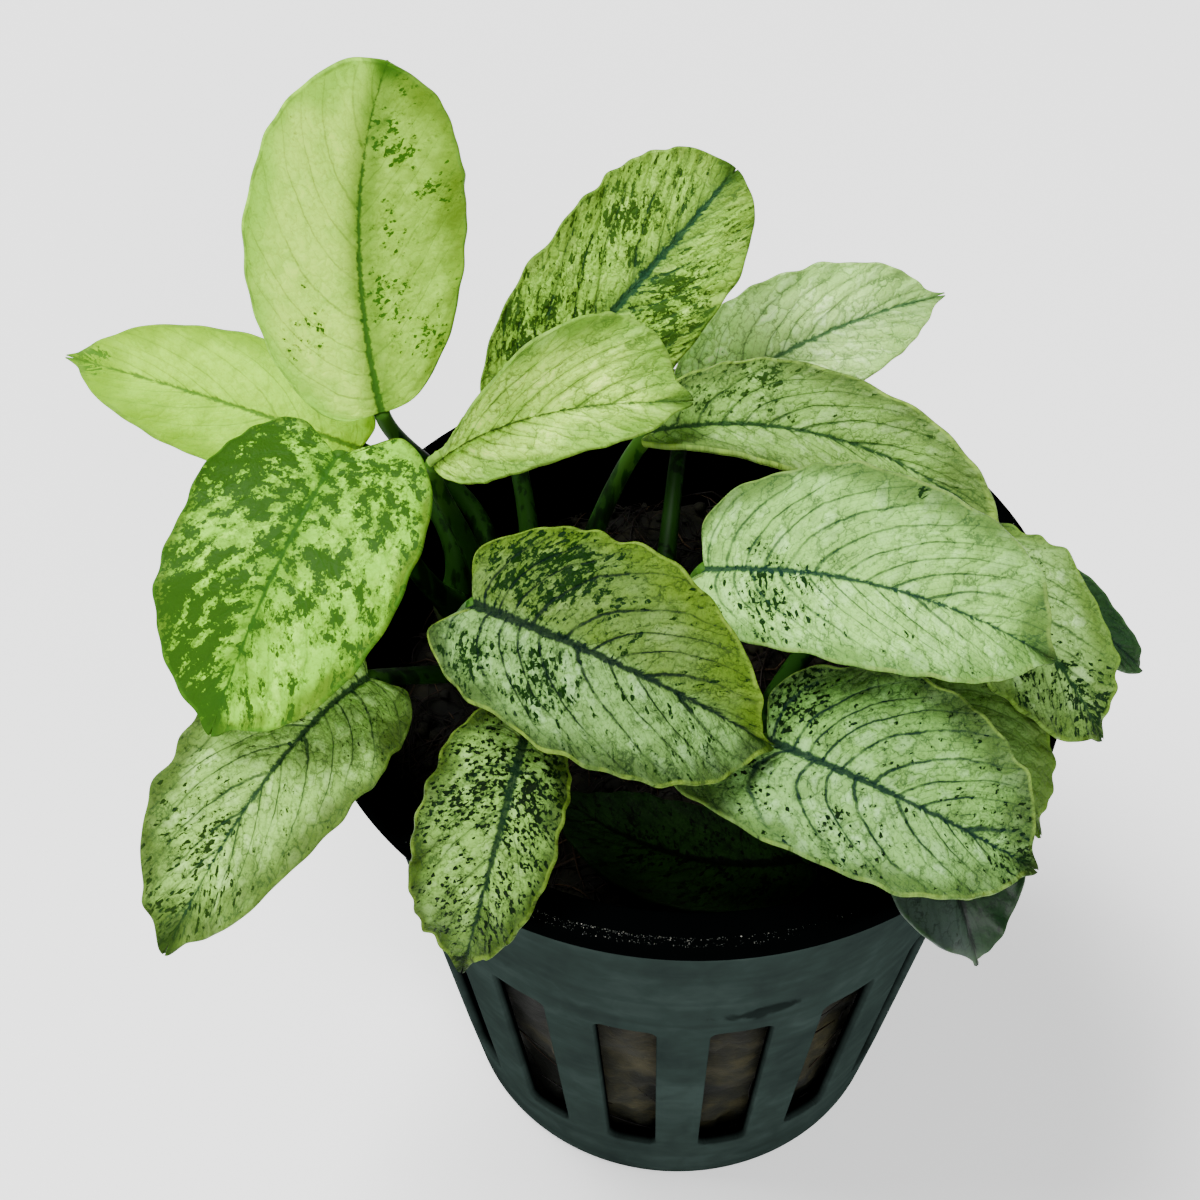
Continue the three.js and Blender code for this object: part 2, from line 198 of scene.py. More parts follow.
def build_pot():
    """Spins the section, draws its columns to the slots' sides, opens the slots and rounds their corners."""
    columns_in_pitch = COLUMNS_IN_SLOT + COLUMNS_IN_BAR
    bm = turned(pot_profile(), SLOT_COUNT * columns_in_pitch)
    pitch = 2 * math.pi / SLOT_COUNT
    half_columns = COLUMNS_IN_SLOT // 2
    for vert in bm.verts:
        radius = math.hypot(vert.co.x, vert.co.y)
        if radius < 1e-6:
            continue
        column = round(math.atan2(vert.co.y, vert.co.x) / pitch * columns_in_pitch)
        slot, place = divmod(column + half_columns, columns_in_pitch)
        place -= half_columns
        height = min(1, max(0, (vert.co.z - SLOT_FOOT) / (SLOT_TOP - SLOT_FOOT)))
        width = mix(SLOT_FOOT_WIDTH, SLOT_TOP_WIDTH, height)
        half_slot = math.asin(width / 2 / pot_radius(mix(SLOT_FOOT, SLOT_TOP, height)))
        if place <= half_columns:
            turn = place / half_columns * half_slot
        else:
            turn = mix(half_slot, pitch - half_slot, (place - half_columns) / COLUMNS_IN_BAR)
        turn += slot * pitch + FIRST_SLOT_TURN
        vert.co.x = radius * math.sin(turn)
        vert.co.y = -radius * math.cos(turn)

    def pitches_round(spot):
        """How many pitches round the pot a spot lies, from the middle of the first slot."""
        return (math.atan2(spot.x, -spot.y) - FIRST_SLOT_TURN) / pitch

    half_slot = SLOT_TOP_WIDTH / 2 / pot_radius(SLOT_TOP) / pitch
    openings = []
    for face in bm.faces:
        middle = face.calc_center_median()
        at = pitches_round(middle)
        heights = [v.co.z for v in face.verts]
        tall = max(heights) - min(heights) > 0.9 * (SLOT_TOP - SLOT_FOOT)
        if tall and SLOT_FOOT < middle.z < SLOT_TOP and abs(at - round(at)) < half_slot:
            openings.append(face)
    bmesh.ops.delete(bm, geom=openings, context="FACES_ONLY")
    bmesh.ops.delete(bm, geom=[e for e in bm.edges if not e.link_faces], context="EDGES")

    rims = {}
    for edge in bm.edges:
        if len(edge.link_faces) == 1:
            at = pitches_round((edge.verts[0].co + edge.verts[1].co) / 2)
            rims.setdefault(round(at) % SLOT_COUNT, []).append(edge)
    corners = []
    for edges in rims.values():
        walls = bmesh.ops.bridge_loops(bm, edges=edges)
        for edge in {e for face in walls["faces"] for e in face.edges}:
            a, b = (v.co for v in edge.verts)
            level = abs(a.z - b.z) < 1e-6
            across = abs(math.hypot(a.x, a.y) - math.hypot(b.x, b.y)) > 0.5 * WALL
            ends = {round(v.co.z, 6) for face in edge.link_faces for v in face.verts}
            if level and across and len(ends) == 2:
                corners.append(edge)
    bmesh.ops.bevel(bm, geom=corners, offset=SLOT_CORNER, affect="EDGES", segments=4, profile=0.5,
                    material=-1)
    bmesh.ops.recalc_face_normals(bm, faces=bm.faces)
    return bm


def pot_material():
    """Moulded polypropylene: black and matt, greyed outside by a painted sheen in level streaks of handling
    wear, with one dark rub mark over a front slot, near black on the lip and painted shade inside."""
    material, tree, shader = new_material("moulded_black_polypropylene")
    place = add(tree, "TexCoord").node.outputs["Object"]
    grain = add(tree, "TexNoise", place, Scale=1 / MOULD_GRAIN, Detail=4.0, Distortion=0.8)
    sweeps = add(tree, "Mapping", place, Scale=[1 / size for size in HANDLING_STREAK],
                 Rotation=(0.1, 0.05, 0))
    sweep = add(tree, "TexNoise", sweeps, Scale=1.0, Detail=4.0, Distortion=0.6)
    cloud = add(tree, "TexNoise", place, Scale=1 / WALL_TONE_CLOUD, Detail=4.0, Roughness=0.6)
    both = add(tree, "Math", grain, sweep, operation="MULTIPLY")
    marks = add(tree, "Math", both, cloud)
    tones = ((0.5, COLOURS_OF_POT["deep"]), (0.74, COLOURS_OF_POT["wall"]), (1.0, COLOURS_OF_POT["dull"]))
    colour = add(tree, "ValToRGB", marks, stops=tones)
    rub = add(tree, "Mapping", place, Location=RUB_MARK_AT, Scale=RUB_MARK_HALF, vector_type="TEXTURE")
    away = add(tree, "VectorMath", rub, operation="LENGTH").node.outputs["Value"]
    away = add(tree, "Math", grain, 3.0, away, operation="MULTIPLY_ADD")
    rubbed = add(tree, "MapRange", away, 2.8, 2.2, 0.0, 0.6)
    x, y, height = add(tree, "SeparateXYZ", place).node.outputs
    lip = add(tree, "MapRange", height, UNDER_LIP, UNDER_LIP + 0.15 * MM)
    level = add(tree, "CombineXYZ", x, y)
    radius = add(tree, "VectorMath", level, operation="LENGTH").node.outputs["Value"]
    upright = add(tree, "Math", height, -WALL_SLOPE, radius, operation="MULTIPLY_ADD")
    # Painted shade: the faces inside the cup are darkened to near black.
    inside = add(tree, "MapRange", upright, BASE_RADIUS - 0.3 * WALL, BASE_RADIUS - 0.7 * WALL)
    near_black_and_inside_shade = add(tree, "Math", lip, inside, operation="MAXIMUM")
    for cover in (rubbed, near_black_and_inside_shade):
        colour = add(tree, "Mix", Factor=cover, A=colour, B=COLOURS_OF_POT["near_black_and_inside_shade"], data_type="RGBA")
    dullness = add(tree, "MapRange", marks, 0.5, 1.0, 0.36, 0.6)
    bump = add(tree, "Bump", Height=both, Strength=0.25, Distance=0.05 * MM)
    fill(tree, shader, Base_Color=colour, Roughness=dullness, Normal=bump, IOR=1.49, Specular_IOR_Level=0.0)
    return material


pot = dressed(mesh_of(build_pot()), "net_pot_moulded", pot_material(), ["net_pot"])
rounding = pot.modifiers.new("edge rounding", "BEVEL")
rounding.width = POT_EDGE_ROUNDING
rounding.segments = 2
rounding.limit_method = "ANGLE"
rounding.angle_limit = math.radians(50)


# Sand on the lip: pale quartz grains and dust left from potting, lying loose along
# the lip's outer part, most of them at the front.
GRAIN_COUNT = 1100
GRAIN_RADIUS = (0.012 * MM, 0.065 * MM)
GRAIN_BAND = (26.6 * MM, 27.4 * MM)
FRONT_SHARE = 0.88
FRONT_TURN = -0.12
FRONT_SPREAD = 0.2


def ball(subdivisions):
    """A ball of radius 1."""
    bm = bmesh.new()
    bmesh.ops.create_icosphere(bm, subdivisions=subdivisions, radius=1)
    return bm


def repeated(bm, count):
    """One joined mesh of many copies of a small shape, and the corners of one copy in their order."""
    one = mesh_of(bm)
    holder = placed("holder", one)
    array = holder.modifiers.new("copies", "ARRAY")
    array.use_relative_offset = False
    array.count = count
    depsgraph = bpy.context.evaluated_depsgraph_get()
    mesh = bpy.data.meshes.new_from_object(holder.evaluated_get(depsgraph))
    corners = np.array([v.co for v in one.vertices])
    bpy.data.objects.remove(holder)
    bpy.data.meshes.remove(one)
    return mesh, corners


def set_places(mesh, places):
    """Moves each corner to its place."""
    mesh.vertices.foreach_set("co", np.asarray(places, np.float32).ravel())
    mesh.update()


def marked(mesh, name, rows):
    """Keeps a number or a vector for each corner, which the material reads by its name."""
    rows = np.asarray(rows, np.float32)
    kind, key = ("FLOAT", "value") if rows.ndim == 1 else ("FLOAT_VECTOR", "vector")
    mesh.attributes.new(name, kind, "POINT").data.foreach_set(key, rows.ravel())


def scatter_grains():
    """Grains of many sizes on the lip, one share of them gathered at the front."""
    draw = np.random.default_rng(7)
    mesh, shape = repeated(ball(1), GRAIN_COUNT)
    front = draw.random(GRAIN_COUNT) < FRONT_SHARE
    gathered = draw.normal(FRONT_TURN, FRONT_SPREAD, GRAIN_COUNT)
    turn = np.where(front, gathered, draw.uniform(0, 2 * math.pi, GRAIN_COUNT))
    radius = mix(*GRAIN_BAND, draw.beta(1.0, 1.8, GRAIN_COUNT))
    size = mix(*GRAIN_RADIUS, draw.beta(1.0, 3.0, GRAIN_COUNT))
    height = POT_HEIGHT - 0.05 * MM + 0.4 * size
    middle = np.stack([radius * np.sin(turn), -radius * np.cos(turn), height], 1)
    stretch = draw.uniform(0.6, 1.3, (GRAIN_COUNT, 1, 3))
    set_places(mesh, middle[:, None] + shape[None] * stretch * size[:, None, None])
    marked(mesh, "tint", np.repeat(draw.random(GRAIN_COUNT), len(shape)))
    return mesh


def grain_material():
    """Quartz sand: white to buff, slightly glassy."""
    material, tree, shader = new_material("quartz_sand")
    tint = add(tree, "Attribute", attribute_name="tint").node.outputs["Fac"]
    tones = ((0.0, "#161a18"), (0.8, "#343832"), (0.94, "#74746a"), (1.0, "#b4b2a8"))
    fill(tree, shader, Base_Color=add(tree, "ValToRGB", tint, stops=tones), Roughness=0.3)
    return material


dressed(scatter_grains(), "sand_on_lip", grain_material(), [])


# Growing medium: a plug of damp brown plant fibre pressed into the cup, lumpy at
# the slots, loose and stringy on top, darkened in patches by algae and towards its top by painted shade.
MEDIUM_TOP = 41 * MM
MEDIUM_LUMP = 0.7 * MM
MEDIUM_SHOULDER = 2 * MM
MEDIUM_GAP = 1.6 * MM
TOP_EDGE = 22.9 * MM
PLUG_ROWS = 46
PLUG_RINGS = 30
PLUG_COLUMNS = 144
SIDE_LUMP = 0.9 * MM
STRANDS_ON_TOP = 1300
STRANDS_AT_SIDE = 160
STRAND_REACH = 22.3 * MM
STRAND_LENGTH = (2.5 * MM, 9 * MM)
STRAND_RADIUS = (0.04 * MM, 0.11 * MM)
STRAND_STEPS = 6
STRAND_BEND = 1.1
STRAND_HUMP = (-0.1 * MM, 0.9 * MM)
SIDE_STRAND_HEIGHT = (5 * MM, 38 * MM)
SIDE_STRAND_OUT = (-0.6 * MM, 0.25 * MM)
CRUMB_COUNT = 520
CRUMB_REACH = 22 * MM
CRUMB_RADIUS = (0.18 * MM, 0.75 * MM)
FIBRE_CLUMP = 3.03 * MM
FIBRE_STRING = (1.11 * MM, 1.11 * MM, 0.385 * MM)
ALGAE_PATCH = 9.09 * MM

RHIZOME_PATH = [(-19.5, 7.5, 43.6), (-12, 4, 43.2), (-3, -2, 43), (4, -6.5, 43), (9.5, -9.5, 42.8)]
RHIZOME_RADIUS = 2.5 * MM


def unit(rows):
    """Directions brought to a length of 1."""
    return rows / np.linalg.norm(rows, axis=-1, keepdims=True)


def spline(points, share):
    """A centripetal spline through points in millimetres, at a share of its span count."""
    points = [np.array(p, float) * MM for p in points]
    spans = len(points) - 1
    span = min(int(share * spans), spans - 1)
    weight = share * spans - span
    before = points[span - 1] if span > 0 else 2 * points[0] - points[1]
    after = points[span + 2] if span + 2 <= spans else 2 * points[-1] - points[-2]
    a, b = points[span], points[span + 1]
    d0 = np.linalg.norm(a - before) ** 0.5
    d1 = np.linalg.norm(b - a) ** 0.5
    d2 = np.linalg.norm(after - b) ** 0.5
    t0 = ((a - before) / d0 - (b - before) / (d0 + d1) + (b - a) / d1) * d1
    t1 = ((b - a) / d1 - (after - a) / (d1 + d2) + (after - b) / d2) * d1
    w = weight
    return a + t0 * w + (3 * (b - a) - 2 * t0 - t1) * w ** 2 + (2 * (a - b) + t0 + t1) * w ** 3


def evenly(curve, steps):
    """Points at equal distances along a curve, and the directions there."""
    fine = np.array([curve(i / 400) for i in range(401)])
    run = np.concatenate([[0], np.cumsum(np.linalg.norm(np.diff(fine, axis=0), axis=1))])
    places = np.linspace(0, run[-1], steps + 1)
    points = np.stack([np.interp(places, run, fine[:, k]) for k in range(3)], 1)
    return points, unit(np.gradient(points, axis=0))


rhizome_axis, rhizome_runs = evenly(lambda share: spline(RHIZOME_PATH, share), 200)


def medium_height(x, y):
    """The level of the loose top, sunk under the rhizome."""
    u, v = x / MM, y / MM
    lump = math.sin(0.61 * u + 1.3) * math.cos(0.53 * v) + 0.5 * math.sin(0.9 * u - 0.8 * v)
    fine = noise.fractal(Vector((u * 0.45, v * 0.45, 3.1)), 0.7, 2.1, 5)
    z = MEDIUM_TOP + MEDIUM_LUMP * (0.85 * lump + 1.1 * fine)
    away = np.hypot(rhizome_axis[:, 0] - x, rhizome_axis[:, 1] - y)
    nearest = int(away.argmin())
    if away[nearest] < RHIZOME_RADIUS:
        under = rhizome_axis[nearest, 2] - math.sqrt(RHIZOME_RADIUS ** 2 - away[nearest] ** 2)
        z = min(z, under + 0.5 * MM)
    return z


def shoulder_drop(reach):
    """How far the top sinks towards the wall."""
    return MEDIUM_SHOULDER * np.maximum(0, reach / TOP_EDGE * 6 - 5) ** 2


def build_plug():
    """Spins the plug's section, and then lets its top and its side swell and sink."""
    shoulder = MEDIUM_TOP - MEDIUM_SHOULDER
    rim = pot_radius(shoulder) - MEDIUM_GAP
    foot = FLOOR + 0.3 * MM
    heights = [mix(foot, shoulder, row / PLUG_ROWS) for row in range(PLUG_ROWS + 1)]
    shares = [1 - ring / PLUG_RINGS for ring in range(1, PLUG_RINGS + 1)]
    section = [(0, foot)] + [(pot_radius(z) - MEDIUM_GAP, z) for z in heights]
    section += [(rim * share, MEDIUM_TOP - shoulder_drop(share * TOP_EDGE)) for share in shares]
    bm = turned(section, PLUG_COLUMNS)
    for vert in bm.verts:
        x, y, z = vert.co
        radius = math.hypot(x, y)
        if z > shoulder + 0.01 * MM:
            vert.co.z = medium_height(x, y) - (MEDIUM_TOP - z)
        elif radius > 1 * MM and z > foot + 0.1 * MM:
            spot = Vector((x, y, 0.6 * z)) / MM
            lump = 1 + SIDE_LUMP * (noise.fractal(spot * 0.22, 0.8, 2.0, 5) - 0.35) / radius
            vert.co.x *= lump
            vert.co.y *= lump
    bmesh.ops.recalc_face_normals(bm, faces=bm.faces)
    return bm


def medium_material():
    """Pressed coconut and peat fibre: matt, umber to near black, streaked along its strands."""
    material, tree, shader = new_material("damp_plant_fibre")
    place = add(tree, "TexCoord").node.outputs["Object"]
    clumps = add(tree, "TexNoise", place, Scale=1 / FIBRE_CLUMP, Detail=5.0, Roughness=0.6)
    strings = add(tree, "Mapping", place, Scale=[1 / size for size in FIBRE_STRING], Rotation=(0.5, 0.3, 0))
    string = add(tree, "TexNoise", strings, Scale=1.0, Detail=3.0, Distortion=1.5)
    both = add(tree, "Math", string, 0.25, clumps, operation="MULTIPLY_ADD")
    tones = ((0.45, "#11120a"), (0.58, "#1b1b0f"), (0.68, "#262412"), (0.8, "#332f1a"))
    colour = add(tree, "ValToRGB", both, stops=tones)
    algae = add(tree, "MapRange", add(tree, "TexNoise", place, Scale=1 / ALGAE_PATCH, Detail=4.0), 0.5, 0.62)
    height = add(tree, "SeparateXYZ", place).node.outputs["Z"]
    # Painted shade: the plug darkens towards its top, as shade inside the cup.
    painted_shade_higher_up = add(tree, "MapRange", height, 20 * MM, 31 * MM, 0.0, 0.75)
    for coat, cover in (("#070904", algae), ("#030302", painted_shade_higher_up)):
        colour = add(tree, "Mix", Factor=cover, A=colour, B=coat, data_type="RGBA")
    bump = add(tree, "Bump", Height=both, Strength=0.6, Distance=0.3 * MM)
    fill(tree, shader, Base_Color=colour, Specular_IOR_Level=0.15, Roughness=0.85, Normal=bump)
    return material


def strand_material():
    """Single coir and root fibres: satin, from straw brown to dark umber."""
    material, tree, shader = new_material("coir_strands")
    tint = add(tree, "Attribute", attribute_name="tint").node.outputs["Fac"]
    tones = ((0.0, "#050302"), (0.7, "#100a06"), (0.93, "#21160c"), (1.0, "#3c2c1a"))
    colour = add(tree, "ValToRGB", tint, stops=tones)
    fill(tree, shader, Base_Color=colour, Roughness=0.6, Specular_IOR_Level=0.15)
    return material


def post(sides, steps):
    """A closed round post of radius 1 along Z from 0 to 1, in equal steps."""
    bm = bmesh.new()
    bmesh.ops.create_cone(bm, cap_ends=True, segments=sides, radius1=1, radius2=1, depth=1,
                          matrix=Matrix.Translation((0, 0, 0.5)))
    long_edges = [e for e in bm.edges if abs(e.verts[0].co.z - e.verts[1].co.z) > 0.5]
    bmesh.ops.subdivide_edges(bm, edges=long_edges, cuts=steps - 1)
    return bm


def scatter_strands():
    """Bent strands on the loose top, and then a few pressed against the side behind the slots."""
    draw = np.random.default_rng(11)
    count = STRANDS_ON_TOP + STRANDS_AT_SIDE
    mesh, shape = repeated(post(3, STRAND_STEPS), count)
    steps = np.linspace(0, 1, STRAND_STEPS + 1)
    lines = np.zeros((count, STRAND_STEPS + 1, 3))
    for i in range(count):
        length = draw.uniform(*STRAND_LENGTH)
        heading = draw.uniform(0, 2 * math.pi)
        headings = heading + draw.normal(0, STRAND_BEND) * (steps - 0.5)
        aside, ahead = (np.cumsum(go(headings)) * length / STRAND_STEPS for go in (np.cos, np.sin))
        aside -= aside.mean()
        ahead -= ahead.mean()
        if i < STRANDS_ON_TOP:
            reach = math.sqrt(draw.random()) * STRAND_REACH
            turn = draw.uniform(0, 2 * math.pi)
            x = reach * math.cos(turn) + aside
            y = reach * math.sin(turn) + ahead
            shrink = np.minimum(1, TOP_EDGE / np.hypot(x, y))
            x, y = x * shrink, y * shrink
            hump = draw.uniform(*STRAND_HUMP) * np.sin(math.pi * steps)
            z = np.array([medium_height(a, b) for a, b in zip(x, y)]) + hump - shoulder_drop(np.hypot(x, y))
        else:
            z = draw.uniform(*SIDE_STRAND_HEIGHT) + ahead
            z = np.clip(z, FLOOR + 1 * MM, MEDIUM_TOP - MEDIUM_SHOULDER)
            radius = pot_radius(z) - MEDIUM_GAP + draw.uniform(*SIDE_STRAND_OUT)
            turn = draw.uniform(0, 2 * math.pi) + aside / radius
            x, y = radius * np.sin(turn), -radius * np.cos(turn)
        lines[i] = np.stack([x, y, z], 1)
    runs = unit(np.gradient(lines, axis=1))
    first = unit(np.cross(runs, np.array([0.31, 0.22, 0.92])))
    second = np.cross(runs, first)
    ring = np.rint(shape[:, 2] * STRAND_STEPS).astype(int)
    taper = (1 - 0.55 * np.abs(2 * steps[ring] - 1))[None, :, None]
    thick = draw.uniform(*STRAND_RADIUS, (count, 1, 1)) * taper
    off = shape[None, :, :1] * first[:, ring] + shape[None, :, 1:2] * second[:, ring]
    set_places(mesh, lines[:, ring] + thick * off)
    marked(mesh, "tint", np.repeat(draw.random(count), len(shape)))
    return mesh


def scatter_crumbs():
    """Rough crumbs half sunk in the loose top."""
    draw = np.random.default_rng(23)
    mesh, shape = repeated(ball(2), CRUMB_COUNT)
    reach = np.sqrt(draw.random(CRUMB_COUNT)) * CRUMB_REACH
    turn = draw.uniform(0, 2 * math.pi, CRUMB_COUNT)
    x, y = reach * np.cos(turn), reach * np.sin(turn)
    z = np.array([medium_height(a, b) for a, b in zip(x, y)]) - shoulder_drop(reach)
    size = draw.uniform(*CRUMB_RADIUS, CRUMB_COUNT) * draw.uniform(0.4, 1, CRUMB_COUNT)
    rough = 1 + draw.normal(0, 0.16, (CRUMB_COUNT, len(shape), 1))
    stretch = draw.uniform(0.6, 1.25, (CRUMB_COUNT, 1, 3))
    middle = np.stack([x, y, z + 0.3 * size], 1)
    set_places(mesh, middle[:, None] + shape[None] * rough * stretch * size[:, None, None])
    marked(mesh, "tint", np.repeat(draw.random(CRUMB_COUNT) * 0.9, len(shape)))
    return mesh


medium_skin = medium_material()
dressed(mesh_of(build_plug()), "medium_plug", medium_skin, ["growing_medium"])
dressed(scatter_strands(), "medium_strands", strand_material(), [])
dressed(scatter_crumbs(), "medium_crumbs", medium_skin, [])


# Rhizome: the creeping stem, green-brown, ringed by the scars of shed leaves, half
# sunk in the medium with its blunt growing end at the left.
RHIZOME_RINGS = 7
RHIZOME_SWELL = 0.09
SCAR_DEPTH = 0.07
RHIZOME_ROUGHNESS = 0.05
RHIZOME_SIDES = 28
RHIZOME_STEPS = 130
CORK_PATCH = 3.03 * MM


def rod(curve, radius_at, sides, steps):
    """A closed round rod along a curve, its radius given by the share run and the turn round it."""
    points, runs = evenly(curve, steps)
    bm = post(sides, steps)
    first = np.cross(runs[0], (0.3, 0.9, 0.1))
    frames = []
    for run in runs:
        first = first - run * first.dot(run)
        first /= np.linalg.norm(first)
        frames.append((first.copy(), np.cross(run, first)))
    for vert in bm.verts:
        step = round(vert.co.z * steps)
        turn = math.atan2(vert.co.y, vert.co.x)
        radius = radius_at(step / steps, turn)
        aside, ahead = frames[step]
        vert.co = points[step] + radius * (math.cos(turn) * aside + math.sin(turn) * ahead)
    return bm


def rhizome_radius(share, turn):
    """Swollen between scars, with a fine groove at each, and blunt at both ends."""
    from_end = min(share, 1 - share) * 6
    blunt = math.sqrt(max(0.0, 1 - (1 - min(1, from_end + 0.02)) ** 2))
    swell = 1 + RHIZOME_SWELL * math.sin(share * RHIZOME_RINGS * 2 * math.pi)
    scar = math.exp(-(((share * RHIZOME_RINGS * 2 + 0.2 * math.sin(turn)) % 1 - 0.5) / 0.05) ** 2)
    rough = noise.noise(Vector((share * 30, math.cos(turn) * 1.6, math.sin(turn) * 1.6)))
    return RHIZOME_RADIUS * blunt * (swell - SCAR_DEPTH * scar + RHIZOME_ROUGHNESS * rough)


def rhizome_material():
    """Corky stem skin: olive green, browned in soft patches."""
    material, tree, shader = new_material("corky_rhizome_skin")
    place = add(tree, "TexCoord").node.outputs["Object"]
    cloud = add(tree, "TexNoise", place, Scale=1 / CORK_PATCH, Detail=5.0, Roughness=0.6)
    tones = ((0.3, "#14160a"), (0.5, "#203010"), (0.68, "#324418"), (0.8, "#4a4a26"))
    colour = add(tree, "ValToRGB", cloud, stops=tones)
    bump = add(tree, "Bump", Height=cloud, Strength=0.5, Distance=0.15 * MM)
    fill(tree, shader, Base_Color=colour, Roughness=0.6, Specular_IOR_Level=0.1, Normal=bump)
    return material


rhizome = rod(lambda share: spline(RHIZOME_PATH, share), rhizome_radius, RHIZOME_SIDES, RHIZOME_STEPS)
dressed(mesh_of(rhizome), "rhizome_skin", rhizome_material(), ["rhizome"])


# Leaves: seventeen leathery blades of living tissue, thinner towards a beaded margin and
# stiffened by a midrib that stands out below. Each grows at the end of its own stalk.

